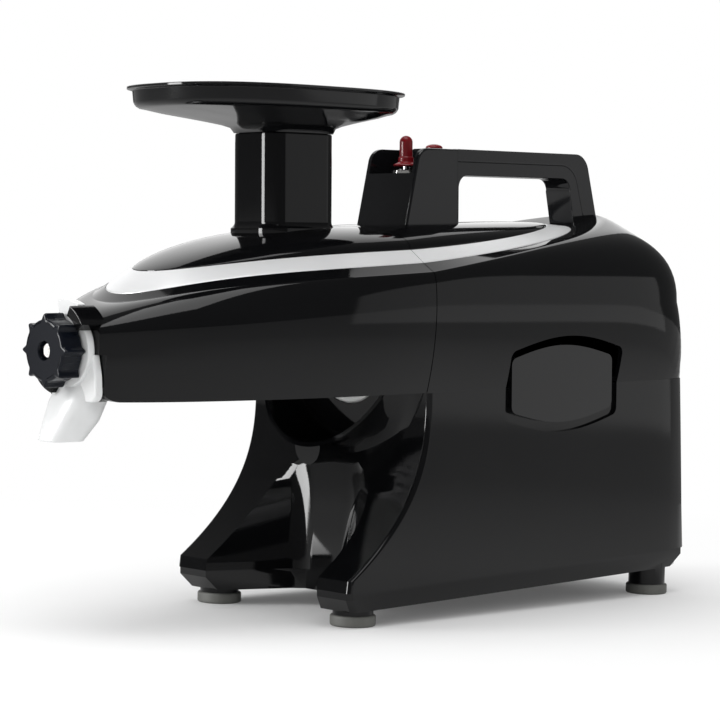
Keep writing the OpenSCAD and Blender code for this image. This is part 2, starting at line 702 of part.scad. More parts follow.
module switch_tower() color([0.11, 0.11, 0.12]) stand() difference() {
    union() {
    across(tower_w) polygon(concat([[tower_x, pocket_z], [tower_x + 0.6, 229]],
        arc(tower_top_x, handle_top_z - 0.7 - tower_round, tower_round, 168, 90, 6),
        [[tower_rear_x, handle_top_z - 0.7], [tower_rear_x, pocket_z]]));
    across(handle_w) polygon([[tower_rear_x - 9, pocket_z], [core_rear_x, pocket_z],
        [core_rear_x, handle_top_z], [tower_rear_x - 9, handle_top_z]]);
    }
    // Switch recess, open to the front and the top
    translate([tower_x - 5, -tower_w / 2 + cheek_t, platform_z])
        cube([recess_end_x - tower_x + 5, tower_w - 2 * cheek_t, 40]);
    // Body of the toggle switch and its bushing
    translate([toggle_x - 13.4, -9.4, platform_z - 31]) cube([26.8, 18.8, 28]);
    translate([toggle_x, 0, platform_z - 10]) cylinder(d = 12.2, h = 20);
    // Slot for the switch's pins and wires
    translate([toggle_x - 11, -5, pocket_z - 1]) cube([22, 10, platform_z - pocket_z - 28]);
    // Guide of the push button
    translate([button_x, 0, 240]) cylinder(d = button_stem_d + 0.6, h = 60);
    translate([button_x, 0, button_seat_z]) cylinder(d = button_d + 1, h = 20);
    // Hollow foot
    translate([tower_x + 12, -15, pocket_z - 1]) cube([tower_rear_x - tower_x - 30, 30, 12]);
}

button_x = core_rear_x - 8;
button_stem_d = 5;
button_seat_z = handle_top_z - 5;

module push_button() color([0.6, 0.1, 0.12]) stand() translate([button_x, 0, 0]) {
    translate([0, 0, button_seat_z + button_travel + 0.6]) rotate_extrude() polygon(concat([[0, 0], [button_d / 2, 0]],
        [for (i = [0 : 5]) let (t = 90 * i / 5)
            [button_d / 2 * cos(t), handle_top_z + 0.8 - button_seat_z - button_travel - 0.6 + 2.2 * sin(t)]]));
    translate([0, 0, button_seat_z - 14]) cylinder(d = button_stem_d, h = 16 + button_travel);
}

leg_depth = 25;
leg_seat_z = 230;
leg_lean = 0.27;
mid_line_z = handle_top_z - 8.2;
window_top_z = handle_top_z - grip_h;

// Front and rear face of the handle's rear leg at a height
function leg_in_x(z) = 243 + (window_top_z - z) * leg_lean * 0.7;
function leg_out_x(z) = handle_rear_x + 13 + (window_top_z + 5 - z) * leg_lean;

module handle_outer() color([0.11, 0.11, 0.12]) stand() across(handle_w) polygon(concat(
    [[core_rear_x, mid_line_z]], [[core_rear_x, handle_top_z]],
    arc(handle_rear_x, handle_top_z - 13, 13, 90, 12, 7), [[leg_out_x(leg_seat_z), leg_seat_z]],
    [[leg_out_x(leg_seat_z) - 13, leg_seat_z]],
    arc(handle_rear_x - 14, mid_line_z - 16, 16, 12, 90, 7)));

window_front_x = core_rear_x + 4;

module handle_inner() color([0.11, 0.11, 0.12]) stand() across(handle_w - 0.8) polygon(concat(
    [[core_rear_x, mid_line_z]],
    arc(handle_rear_x - 14, mid_line_z - 16, 16, 90, 12, 7), [[leg_out_x(leg_seat_z) - 13, leg_seat_z]],
    [[leg_in_x(leg_seat_z), leg_seat_z]], [[leg_in_x(window_top_z - 8), window_top_z - 8]],
    arc(leg_in_x(window_top_z - 8) - 8, window_top_z - 8, 8, 0, 90, 5),
    arc(window_front_x + 8, window_top_z - 8, 8, 90, 180, 5),
    [[window_front_x, pocket_z], [core_rear_x, pocket_z]]));

module toggle_switch() color([0.2, 0.2, 0.22]) stand() {
    toggle_pivot(pivot_d, 11);
    translate([toggle_x, 0, 0]) switch_case();
}

module switch_case() {
    difference() {
        union() {
            translate([-13, -9, platform_z - 30]) cube([26, 18, 27]);
            translate([0, 0, platform_z - 3.6]) cylinder(d = 12, h = 6.4);
        }
        translate([0, 0, pivot_z - lever_tail - 1.4])
            cylinder(d = lever_d + 2 * lever_tail * sin(toggle_swing) + 1, h = 20);
    }
    for (s = [-1, 0, 1]) translate([s * 8 - 0.4, -3, platform_z - 38.9]) cube([0.8, 6, 9]);
}

module toggle_nut() color([0.8, 0.8, 0.82]) stand() translate([toggle_x, 0, platform_z]) difference() {
    cylinder(d = 17, h = 2.2, $fn = 6);
    translate([0, 0, -1]) cylinder(d = 12.1, h = 6);
}

boot_z = platform_z + 4.6;
pivot_z = platform_z + 1;
pivot_d = 1.8;
lever_d = 4.4;
lever_tail = 4;
lever_up = 12;

// Steel lever that the boot is pushed over, on a pin across the bushing
module toggle_lever() color([0.75, 0.75, 0.77]) stand() difference() {
    translate([toggle_x, 0, pivot_z - lever_tail]) cylinder(d = lever_d, h = boot_z + lever_up - pivot_z + lever_tail);
    toggle_pivot(pivot_d + 2 * run_fit, lever_d + 2);
}

module toggle_pivot(d, l) {
    translate([toggle_x, l / 2, pivot_z]) rotate([90, 0, 0]) cylinder(d = d, h = l);
}

module toggle_boot() color([0.62, 0.1, 0.13]) stand() translate([toggle_x, 0, boot_z]) difference() {
    rotate_extrude() polygon(concat([[0, 0], [4, 0], [6.5, 0.9], [6.5, 2.2], [4.9, 2.6], [4.6, 5.6], [4.1, 6.2]],
        arc(0, toggle_h - 4.6 - 4.1, 4.1, 0, 90, 6)));
    translate([0, 0, -1]) cylinder(d = lever_d, h = lever_up + 1);
}

// ---------- drive train ----------

// Involute gear outline, 25 degree pressure angle
pressure = 25;
function involute(a) = tan(a) * 180 / PI - a;
function flank(rb, r, half) = let (a = acos(min(1, rb / r))) half - involute(a);
function gear_outline(teeth, module_mm, backlash) =
    let (rp = teeth * module_mm / 2, rb = rp * cos(pressure), ra = rp + module_mm * 0.92,
         rr = rp - module_mm * 1.2,
         half = 90 / teeth - backlash / rp * 90 / PI + involute(pressure),
         radii = [max(rb, rr + 0.01), mix(max(rb, rr), ra, 0.4), mix(max(rb, rr), ra, 0.75), ra])
    [for (k = [0 : teeth - 1]) let (mid = 360 * k / teeth) each concat(
        [rr * [cos(mid - flank(rb, radii[0], half)), sin(mid - flank(rb, radii[0], half))]],
        [for (r = radii) r * [cos(mid - flank(rb, r, half)), sin(mid - flank(rb, r, half))]],
        [for (i = [3 : -1 : 0]) let (r = radii[i]) r * [cos(mid + flank(rb, r, half)), sin(mid + flank(rb, r, half))]],
        [rr * [cos(mid + flank(rb, radii[0], half)), sin(mid + flank(rb, radii[0], half))]])];

module spur_gear(teeth, module_mm, width, bore, turn = 0) {
    linear_extrude(width) difference() {
        rotate(turn) polygon(gear_outline(teeth, module_mm, 0.3));
        circle(d = bore);
    }
}

stage1_centre = stage1_module * (pinion_teeth + wheel_teeth) / 2;
inter_z = motor_z + stage1_centre;
drive_offset_z = drive_z - inter_z;
stage2_centre = sqrt(drive_offset_z * drive_offset_z + gear_half * gear_half);
stage2_module = 2 * stage2_centre / (second_teeth + output_teeth);
// along_x turns the gear plane: local x points down and local y stays
stage2_angle = atan2(gear_half, -drive_offset_z);
stage1_x = 100;
stage2_x = stage1_x - reduction_w - 4;
inter_pin_d = 10;
drive_y = gear_half;

gearbox_front_x = stage2_x - 9;
gearbox_rear_x = stage1_x + reduction_w + 5;
plate_thick = 5;

module motor_pinion() color([0.6, 0.6, 0.62]) stand() along_x(stage1_x, 0, motor_z)
    spur_gear(pinion_teeth, stage1_module, reduction_w, motor_shaft_d, 180);

module intermediate_gear() color([0.85, 0.83, 0.75]) stand() {
    along_x(stage1_x, 0, inter_z) difference() {
        spur_gear(wheel_teeth, stage1_module, reduction_w, inter_pin_d + 2 * run_fit, 180 / wheel_teeth);
        for (s = [-1, 1]) translate([0, 0, s > 0 ? reduction_w - 2.5 : -0.5]) difference() {
            cylinder(r = stage1_module * wheel_teeth / 2 - 5, h = 3);
            translate([0, 0, -1]) cylinder(r = 12, h = 6);
        }
    }
    along_x(stage2_x, 0, inter_z) {
        spur_gear(second_teeth, stage2_module, reduction_w, inter_pin_d + 2 * run_fit, stage2_angle);
        translate([0, 0, reduction_w]) difference() {
            cylinder(d = inter_pin_d + 6, h = 4);
            translate([0, 0, -1]) cylinder(d = inter_pin_d + 2 * run_fit, h = 6);
        }
    }
}

module intermediate_pin() color([0.75, 0.75, 0.77]) stand() along_x(gearbox_front_x, 0, inter_z)
    cylinder(d = inter_pin_d, h = gearbox_rear_x + plate_thick - gearbox_front_x);

module output_wheel() color([0.6, 0.6, 0.62]) stand() along_x(stage2_x, drive_y, drive_z) difference() {
    spur_gear(output_teeth, stage2_module, reduction_w, drive_shaft_d, stage2_angle + 180 + 180 / output_teeth);
    for (k = [0 : 5]) rotate(60 * k) translate([22, 0, -1]) cylinder(d = 12, h = reduction_w + 2);
}

socket_depth = 24;
drive_flat = 9.6;

module drive_shaft() color([0.8, 0.8, 0.82]) stand() {
    along_x(stage2_x - 26, drive_y, drive_z)
        cylinder(d = drive_shaft_d, h = gearbox_rear_x + plate_thick - stage2_x + 26);
    // Square drive nose that enters the pressing gear
    along_x(stage2_x - 26 - socket_depth, drive_y, drive_z)
        linear_extrude(socket_depth) square(drive_flat, center = true);
}

module idler_stub() color([0.8, 0.8, 0.82]) stand() {
    along_x(stage2_x - 26 - socket_depth, -drive_y, drive_z) cylinder(d = 10, h = socket_depth);
    along_x(stage2_x - 26, -drive_y, drive_z) cylinder(d = drive_shaft_d, h = 22);
}

bush_t = 3;

module shaft_bushes() color([0.75, 0.55, 0.25]) stand() for (s = [-1, 1]) {
    along_x(gearbox_front_x, s * drive_y, drive_z) difference() {
        cylinder(d = drive_shaft_d + 2 * bush_t, h = plate_thick);
        translate([0, 0, -1]) cylinder(d = drive_shaft_d + 2 * (s > 0 ? run_fit : 0), h = plate_thick + 2);
    }
}

// Two plates on spacers, bolted inside the body
module gearbox_frame() color([0.55, 0.56, 0.58]) stand() difference() {
    union() {
        for (x = [gearbox_front_x, gearbox_rear_x]) along_x(x, 0, 0) linear_extrude(plate_thick)
            polygon([[-motor_z + 26, -34], [-motor_z + 26, 34], [-drive_z + 6, 68], [-drive_z - 24, 48],
                     [-drive_z - 24, -48], [-drive_z + 6, -68]]);
        for (p = [[-24, motor_z - 12], [24, motor_z - 12], [-60, drive_z - 7], [60, drive_z - 7]])
            along_x(gearbox_front_x + plate_thick - 1, p[0], p[1])
                cylinder(d = 8, h = gearbox_rear_x - gearbox_front_x - plate_thick + 2);
    }
    for (s = [-1, 1]) along_x(gearbox_front_x - 1, s * drive_y, drive_z)
        cylinder(d = drive_shaft_d + 2 * bush_t, h = plate_thick + 2);
    along_x(gearbox_rear_x - 1, drive_y, drive_z) cylinder(d = drive_shaft_d + 2 * run_fit, h = plate_thick + 2);
    along_x(gearbox_front_x - 1, 0, inter_z) cylinder(d = inter_pin_d, h = 80);
    along_x(gearbox_front_x - 1, 0, motor_z) cylinder(d = 26, h = 80);
}

bell_t = 12;
bell_front_x = gearbox_rear_x + plate_thick;
motor_x = bell_front_x + bell_t + 15;
bell_rear_x = motor_x + stator_l + 15;
bearing_w = 8;
bearing_d = 26;

module motor_shaft() color([0.8, 0.8, 0.82]) stand() along_x(stage1_x - 4, 0, motor_z)
    cylinder(d = motor_shaft_d, h = fan_x + 16 - stage1_x);

module rotor() color([0.6, 0.6, 0.6]) stand() along_x(motor_x, 0, motor_z) difference() {
    union() {
        cylinder(d = rotor_d, h = stator_l);
        translate([0, 0, -5]) cylinder(d = rotor_d - 8, h = stator_l + 10);
    }
    translate([0, 0, -6]) cylinder(d = motor_shaft_d, h = stator_l + 12);
}

module stator() color([0.5, 0.5, 0.52]) stand() along_x(motor_x, 0, motor_z) difference() {
    cylinder(d = stator_d, h = stator_l);
    translate([0, 0, -1]) cylinder(d = rotor_d + 1.2, h = stator_l + 2);
    for (k = [0 : 11]) rotate(30 * k) translate([rotor_d / 2 + 8, 0, -1]) cylinder(d = 8, h = stator_l + 2);
    for (k = [0 : 3]) rotate(45 + 90 * k) translate([rod_r, 0, -1]) cylinder(d = rod_d, h = stator_l + 2);
}

module winding() color([0.7, 0.35, 0.15]) stand() for (s = [0, 1])
    along_x(motor_x - 12 + s * (stator_l + 12), 0, motor_z) difference() {
        cylinder(r = rotor_d / 2 + 14, h = 12);
        translate([0, 0, -1]) cylinder(r = rotor_d / 2 + 3, h = 14);
    }

module motor_bearings() color([0.82, 0.82, 0.84]) stand() for (x = [bell_front_x + 1, bell_rear_x + 3])
    along_x(x, 0, motor_z) difference() {
        cylinder(d = bearing_d, h = bearing_w);
        translate([0, 0, -1]) cylinder(d = motor_shaft_d + 2 * run_fit, h = bearing_w + 2);
    }

rod_d = 6;
rod_r = 43.6;

// End bells that hold the bearings, with the rods through the stator and the feet
module motor_bracket() color([0.62, 0.62, 0.64]) stand() {
    for (x = [bell_front_x, bell_rear_x]) along_x(x, 0, motor_z) difference() {
        union() {
            cylinder(d = stator_d + 4, h = bell_t);
            translate([30, -30, 0]) cube([motor_z - 30 - plate_z - wall, 60, bell_t]);
        }
        translate([0, 0, x == bell_front_x ? 1 : 3]) cylinder(d = bearing_d, h = bearing_w);
        translate([0, 0, -1]) cylinder(d = bearing_d - 6, h = 20);
        for (k = [0 : 3]) rotate(90 * k) translate([28, 0, -1]) cylinder(d = 16, h = 20);
    }
    for (k = [0 : 3]) along_x(bell_front_x + bell_t - 0.5, 0, motor_z) rotate(45 + 90 * k)
        translate([rod_r, 0, 0]) cylinder(d = rod_d, h = bell_rear_x - bell_front_x - bell_t + 1);
}

fan_x = bell_rear_x + bell_t + 4;

module cooling_fan() color([0.2, 0.2, 0.2]) stand() along_x(fan_x, 0, motor_z) difference() {
    union() {
        cylinder(d = 24, h = 12);
        cylinder(d = 70, h = 1.6);
        for (k = [0 : 10]) rotate(360 / 11 * k) translate([10, -0.8, 0]) cube([24, 1.6, 12]);
    }
    translate([0, 0, -1]) cylinder(d = motor_shaft_d, h = 20);
}

capacitor_x = 196;
capacitor_y = 50;
shelf_z = 122;

module run_capacitor() color([0.75, 0.76, 0.78]) stand() {
    along_x(capacitor_x, capacitor_y, shelf_z + 20) cylinder(d = 32, h = 56);
    translate([capacitor_x + 5, capacitor_y - 12, shelf_z]) cube([44, 24, 12]);
}

cap_r = 34.5;

// Pale cover over the shafts, seen under the head
module bearing_cap() color([0.85, 0.85, 0.86]) stand() along_x(front_wall_x + 8, 0, drive_z) difference() {
    union() {
        cylinder(r = cap_r, h = gearbox_front_x - front_wall_x - 8);
        cylinder(r = collar_r - collar_wall, h = 3);
    }
    for (s = [-1, 1]) translate([0, s * drive_y, -1]) cylinder(d = drive_shaft_d + 1, h = 60);
}

// ---------- juicing head ----------

chamber_rear_x = front_wall_x + 6;
chamber_front_x = chamber_rear_x - gear_len - 22;
chamber_wall = 2.2;
neck_bore = casing_d - 9.4;

module twin_bore(d, len_x, x) {
    for (s = [-1, 1]) along_x(x, s * gear_half, drive_z) cylinder(d = d, h = len_x);
}

// Rounded rectangle
module rounded(l, w, r) {
    polygon(concat(arc(l / 2 - r, w / 2 - r, r, 0, 90, 4), arc(r - l / 2, w / 2 - r, r, 90, 180, 4),
                   arc(r - l / 2, r - w / 2, r, 180, 270, 4), arc(l / 2 - r, r - w / 2, r, 270, 360, 4)));
}

chute_round = 11;

module chute_column(grow, from_z, to_z) {
    translate([chute_x, 0, from_z]) linear_extrude(to_z - from_z)
        rounded(chute_l + 2 * grow, chute_w + 2 * grow, chute_round + grow);
}

module head_cowl() color([0.1, 0.1, 0.11]) stand() difference() {
    union() {
        difference() {
            union() {
                difference() {
                    head_skin();
                    head_hollow();
                }
                chute_column(0, drive_z + 11, chute_top_z);
                // Flared foot of the chute
                for (k = [0 : 4]) chute_column(6 * pow(1 - k / 5, 2), crown_z - 14, crown_z - 1 + 1.4 * k);
            }
            // Flat nose, stepped back under the knob
            translate([-nose_x - 100, -100, 100]) cube([100, 200, 200]);
            translate([-nose_x - 1, -100, 100]) cube([3.7, 200, knob_z - 102]);
            // Rounded lower corner
            across(200) polygon(concat([[-nose_x - 1, mid_seam_z - 1], [nose_round + 2.7 - nose_x, mid_seam_z - 1]],
                arc(nose_round + 2.7 - nose_x, mid_seam_z + gap + nose_round, nose_round, 270, 180, 6),
                [[-nose_x - 1, mid_seam_z + gap + nose_round]]));
        }
        nose_hooks();
        // Boss that receives the chamber's throat and the outlet's neck
        along_x(-nose_x + 3, 0, knob_z) prism(neck_bore / 2 + 2.5, 20);
    }
    // Passage down the chute and seats for the chamber and the outlet
    chute_column(-chute_wall, drive_z, chute_top_z + 10);
    along_x(-nose_x - 1, 0, knob_z) cylinder(d = neck_bore, h = 40);
    head_chamber_seat();
    // Clearance for the drive collar of the body
    along_x(head_end_x - 28, 0, drive_z) prism(collar_r + 1.4, 40, 96);
}

// The chamber plugs in from behind
module head_chamber_seat() {
    twin_bore(chamber_d + 2 * chamber_wall + 0.6, chamber_rear_x - chamber_front_x + 1, chamber_front_x - 0.5);
}

// Bayonet hooks that hold the outlet casing
module nose_hooks() {
    for (s = [0, 1]) along_x(-nose_x - hook_reach, 0, knob_z) rotate(s * 180) linear_extrude(hook_reach + 5)
        polygon(concat(arc(0, 0, casing_d / 2 + (s == 0 ? 7.6 : 3.4), 194, 238, 9),
                       arc(0, 0, casing_d / 2 + 0.4, 238, 194, 9)));
}

hook_reach = 11;
nose_round = 7;

module gear_chamber() color([0.9, 0.9, 0.88]) stand() difference() {
    union() {
        twin_bore(chamber_d + 2 * chamber_wall, chamber_rear_x - chamber_front_x, chamber_front_x);
        translate([chamber_front_x, -gear_half, drive_z - 10])
            cube([chamber_rear_x - chamber_front_x, gear_pitch, 20]);
        // Throat to the outlet
        along_x(-nose_x + 14, 0, knob_z) cylinder(d = neck_bore, h = nose_x - 10 + chamber_front_x);
    }
    twin_bore(chamber_d, chamber_rear_x - chamber_front_x - 4 + 10, chamber_front_x + 4);
    along_x(-nose_x, 0, knob_z) cylinder(d = 25, h = 60);
    // Feed opening under the chute and juice window over the screen
    translate([chute_x, 0, drive_z]) linear_extrude(40)
        rounded(chute_l - 2 * chute_wall, chute_w - 2 * chute_wall, chute_round - chute_wall);
    translate([chamber_front_x + 20, -gear_half - 12, drive_z - 40])
        cube([gear_len - 60, gear_pitch + 24, 40]);
}

screen_slots = 12;

// Slotted steel screen in the floor of the chamber
module juice_screen() color([0.8, 0.8, 0.82]) stand() difference() {
    intersection() {
        union() twin_bore(chamber_d + 2 * chamber_wall, gear_len - 60, chamber_front_x + 20);
        translate([chamber_front_x, -gear_half - 12, drive_z - 40])
            cube([gear_len, gear_pitch + 24, 40 - 11]);
    }
    twin_bore(chamber_d + 0.8, gear_len, chamber_front_x);
    for (k = [0 : screen_slots - 1], s = [-1, 1])
        translate([chamber_front_x + 25 + 6 * k, s * gear_half - 8, drive_z - 40]) cube([2, 16, 40]);
}

// Helical pressing gear with straight-flanked teeth
press_tip_r = gear_pitch / 2 + 2;
press_root_r = gear_pitch / 2 - 2.6;
press_twist = 60;
press_slices = 20;

function press_outline(teeth) = [for (k = [0 : teeth - 1], p = [[-0.36, press_root_r], [-0.13, press_tip_r],
    [0.13, press_tip_r], [0.36, press_root_r]]) let (a = 360 * (k + p[0]) / teeth) p[1] * [cos(a), sin(a)]];

gear_front_x = chamber_front_x + 6;

module press_gear(y, hand, turn) {
    along_x(gear_front_x, y, drive_z) difference() {
        union() {
            linear_extrude(gear_len, twist = hand * press_twist, slices = press_slices)
                rotate(turn) polygon(press_outline(gear_teeth));
            translate([0, 0, gear_len - 0.01]) cylinder(r = press_root_r - 1, h = press_neck);
        }
        translate([0, 0, gear_len + press_neck + 0.2 - bore_depth]) children();
    }
}

press_neck = 16;
bore_depth = 18;

module drive_gear() color([0.78, 0.78, 0.8]) stand()
    press_gear(drive_y, 1, 0) linear_extrude(40) square(drive_flat + 0.5, center = true);

module driven_gear() color([0.78, 0.78, 0.8]) stand()
    press_gear(-drive_y, -1, 180 / gear_teeth) cylinder(d = 10 + 2 * run_fit, h = 40);

// ---------- hopper ----------

hopper_cols = 40;

function rim_point(a, w, n, t, cx, z) =
    let (c = cos(t), s = sin(t), r = pow(pow(abs(c) / a, n) + pow(abs(s) / w, n), -1 / n))
    [cx + r * c, r * s, z];

rim_angles = [for (i = [0 : hopper_cols - 1]) let (t = 360 * i / hopper_cols)
    atan2(hopper_half_w * sin(t), hopper_half_l * cos(t))];

function rim_ring(inset, n, z, share = 0) = [for (t = rim_angles)
    rim_point(mix(hopper_half_l - inset, neck_l / 2, share), mix(hopper_half_w - inset, neck_w / 2, share),
              mix(n, 5, share), t, mix(hopper_x, chute_x, share), z)];

neck_l = chute_l + 0.6;
neck_w = chute_w + 0.6;
neck_z = chute_top_z + 0.3;
tray_z = hopper_rim_z - hopper_side_h;

// Ring of the spigot that plugs into the chute
function spigot_ring(fit, z) = [for (t = rim_angles)
    rim_point(chute_l / 2 - chute_wall - fit, chute_w / 2 - chute_wall - fit, 5, t, chute_x, z)];

module hopper() color([0.12, 0.12, 0.13]) stand() {
    low_z = mix(neck_z, tray_z, 0.62);
    ring_tube([spigot_ring(gap, neck_z - 14), spigot_ring(gap, neck_z - 0.2), rim_ring(10, 2.8, neck_z, 1),
        rim_ring(10, 2.8, neck_z + 3, 0.96), rim_ring(10, 2.8, low_z, 0.5), rim_ring(9, 2.8, tray_z - 0.6),
        rim_ring(5.2, 2.8, tray_z + 0.8), rim_ring(3.6, 2.8, tray_z + 3.4), rim_ring(3, 2.8, hopper_rim_z - 2.4),
        rim_ring(0.6, 2.8, hopper_rim_z - 1.6), rim_ring(0, 2.8, hopper_rim_z),
        rim_ring(3, 2.8, hopper_rim_z - 0.1), rim_ring(4.4, 2.8, hopper_rim_z - 1), rim_ring(6.4, 2.8, tray_z + 4.4),
        rim_ring(11, 2.8, tray_z + 2.2), rim_ring(13, 2.8, low_z + hopper_wall, 0.5),
        rim_ring(16, 2.8, neck_z + 5, 0.94), spigot_ring(2.6, neck_z), spigot_ring(2.6, neck_z - 14)]);
}

// ---------- outlet ----------

casing_front_x = -nose_x - 5;

// Ring of the spout, a flattened tube that runs down and forward
function spout_ring(c, a, w, h) = [for (i = [0 : 15]) let (t = 360 * i / 16)
    [c[0] - h * sin(t) * sin(a), c[1] + w * cos(t), c[2] + h * sin(t) * cos(a)]];

// Centre, half width, half depth and lean of each section of the spout
spout_stations = [[12, 1, 150, 15, 12, 10], [7, 1, 140, 16, 12, 22], [1, 2, 129, 16, 12, 32],
                  [-6.5, 2, 118, 14.5, 10.5, 36], [-13, 2, 109, 12, 8.5, 38]];
spout_end_z = 113;

module spout_tube(shrink, from, to) {
    ring_loft([for (i = [from : to]) let (s = spout_stations[i])
        spout_ring([s[0] - nose_x, s[1], s[2]], 90 - s[5], s[3] - shrink, s[4] - shrink)]);
}

module outlet_casing() color([0.93, 0.94, 0.94, 0.8]) stand() difference() {
    union() {
        along_x(casing_front_x, 0, knob_z) cylinder(d = casing_d, h = 5 - gap);
        // Ear that meets the end of the upper hook
        along_x(casing_front_x, 0, knob_z) linear_extrude(5 - gap)
            polygon(concat(arc(0, 0, casing_d / 2 + 7, 181, 192, 3), arc(0, 0, casing_d / 2 - 3, 192, 181, 3)));
        along_x(casing_front_x, 0, knob_z) cylinder(d = casing_d - 10, h = 14);
        difference() {
            spout_tube(0, 0, 4);
            // Room for the nose of the head
            translate([-nose_x + 2.1, -100, mid_seam_z]) cube([100, 200, 100]);
        }
    }
    along_x(casing_front_x + 3, 0, knob_z) cylinder(d = casing_d - 14, h = 40);
    difference() {
        spout_tube(2.2, 0, 4);
        translate([-200, -50, knob_z - casing_d / 2 + 9]) cube([200, 100, 100]);
        translate([-nose_x - 0.3, -50, mid_seam_z - 2.4]) cube([100, 100, 100]);
    }
    along_x(casing_front_x - 1, 0, knob_z) cylinder(d = 8 + 2 * run_fit, h = 20);
    // Slot that slides past the lower hook
    along_x(-nose_x - hook_reach - 0.5, 0, knob_z) rotate(180) linear_extrude(60)
        polygon(concat(arc(0, 0, casing_d / 2 + 3.8, 192, 240, 9), arc(0, 0, casing_d / 2 + 0.2, 240, 192, 9)));
    translate([-250, -50, spout_end_z - 60]) cube([200, 100, 60]);
}

plug_x = casing_front_x + 4.2 + plug_travel;

module outlet_plug() color([0.13, 0.13, 0.14]) stand() {
    along_x(-knob_face_x + 5, 0, knob_z) cylinder(d = 8, h = plug_x + knob_face_x - 5);
    along_x(plug_x - 0.01, 0, knob_z) cylinder(d1 = 14, d2 = 22, h = 12);
}

// Outline of the knob with round lobes between shallow valleys
function knob_outline(r, depth) = [for (i = [0 : knob_lobes * 10 - 1]) let (t = 36 * i / knob_lobes,
    wave = pow(abs(sin(knob_lobes * t / 2)), 0.6)) (r - depth * wave) * [cos(t), sin(t)]];

module knob() color([0.2, 0.23, 0.27]) stand() along_x(-knob_face_x, 0, knob_z) difference() {
    union() {
        translate([0, 0, 2.2]) linear_extrude(knob_t - 2.2) polygon(knob_outline(knob_d / 2, 2.6));
        linear_extrude(2.3) polygon(knob_outline(knob_d / 2 - 3, 1.2));
    }
    translate([0, 0, -1]) cylinder(d = 10.5, h = 5.6);
    translate([0, 0, 4.5]) cylinder(d = 8, h = 20);
    translate([0, 0, knob_t - 4]) difference() {
        cylinder(d = knob_d - 9, h = 5);
        translate([0, 0, -1]) cylinder(d = 16, h = 8);
    }
}

module knob_screw() color([0.85, 0.83, 0.8]) stand() along_x(-knob_face_x + 2.6, 0, knob_z) difference() {
    cylinder(d = 7.6, h = 2.3);
    translate([-2.6, -0.5, -1]) cube([5.2, 1, 1.9]);
}

base_plate();
rubber_feet();
base_screws();
lower_housing();
upper_housing();
body_trim();
badge_plate();
bearing_cap();
switch_tower();
handle_outer();
handle_inner();
toggle_switch();
toggle_nut();
toggle_lever();
toggle_boot();
push_button();
mains_inlet();
motor_bracket();
stator();
winding();
rotor();
motor_shaft();
motor_bearings();
cooling_fan();
run_capacitor();
gearbox_frame();
motor_pinion();
intermediate_gear();
intermediate_pin();
output_wheel();
drive_shaft();
idler_stub();
shaft_bushes();
head_cowl();
head_trim();
gear_chamber();
juice_screen();
drive_gear();
driven_gear();
hopper();
outlet_casing();
outlet_plug();
knob();
knob_screw();
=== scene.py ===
"""Dressed model of a twin gear cold press juicer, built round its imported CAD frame."""

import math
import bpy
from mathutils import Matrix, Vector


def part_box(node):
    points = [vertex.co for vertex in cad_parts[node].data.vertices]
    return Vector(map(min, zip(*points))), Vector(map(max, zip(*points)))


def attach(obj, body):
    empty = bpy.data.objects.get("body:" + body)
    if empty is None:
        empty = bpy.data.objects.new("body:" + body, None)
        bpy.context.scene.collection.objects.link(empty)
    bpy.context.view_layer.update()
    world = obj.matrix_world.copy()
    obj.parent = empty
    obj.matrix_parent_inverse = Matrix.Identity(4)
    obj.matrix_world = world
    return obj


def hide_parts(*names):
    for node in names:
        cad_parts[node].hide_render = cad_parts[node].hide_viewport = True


bl_info = {
    "name": "Twin gear cold press juicer",
    "version": (1, 0, 0),
    "blender": (4, 5, 0),
    "location": "3D View > Sidebar > Juicer",
    "description": "Models and finishes the visible pieces of a horizontal twin gear juicer",
    "category": "Object",
}

import bpy
from mathutils import Matrix, Vector

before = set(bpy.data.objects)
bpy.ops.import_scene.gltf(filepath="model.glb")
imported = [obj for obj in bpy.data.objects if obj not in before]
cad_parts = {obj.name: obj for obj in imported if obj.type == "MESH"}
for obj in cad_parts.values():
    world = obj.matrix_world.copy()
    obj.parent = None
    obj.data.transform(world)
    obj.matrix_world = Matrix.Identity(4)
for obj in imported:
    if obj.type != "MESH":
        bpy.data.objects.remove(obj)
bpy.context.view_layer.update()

# ---------- the machine's own frame: millimetres, +X to the rear, z = 0 under the front feet ----------

FOOT_SPACING = 269.0
REAR_DROP = 7.7
TIP = math.asin(REAR_DROP / FOOT_SPACING)
BASE_SEAM = 21.8
MID_SEAM = 134.7
JOINT_X = 42.0
HEAD_END_X = 41.4
WAIST_Z = 185.0
CREASE_Z = 206.4
REACH = 245.0
HEAD_REACH = 206.0
CREASE_REACH = 228.0
WAIST_HALF = 86.0
CREASE_HALF = 82.3
DRIVE_Z = 159.0
NOSE_X = 158.0
KNOB_Z = 163.0
KNOB_FACE_X = -177.5
CHUTE_X = -2.0
COLUMNS = 120
SIDE_STEPS, SHOULDER_STEPS, CROWN_STEPS = 12, 16, 18

# half width and height of the two edges of the trim at the joint, and their reach into the head
BAND_OUT_HALF, BAND_OUT_Z, BAND_OUT_REACH = 74.6, 211.3, 167
BAND_IN_HALF, BAND_IN_Z, BAND_IN_REACH = 63.5, 219.1, 149

# legs, recess and drive collar
KNEE_Z = 28.8
RECESS_FOOT, RECESS_CROWN = 9.7, 99
RECESS_TOP = 98.99
BORE_RADIUS = 56.9
COLLAR_RADIUS = 59.5

# share of the mains inlet that its opening shows, and the longest edge merged after the cuts
INLET_SHARE = 0.84
SPLINTER = 0.12

# side plate: middle, and the depth of its recess
PLATE_X, PLATE_Z, PLATE_FLOOR_Y = 163.5, 136, -74.2

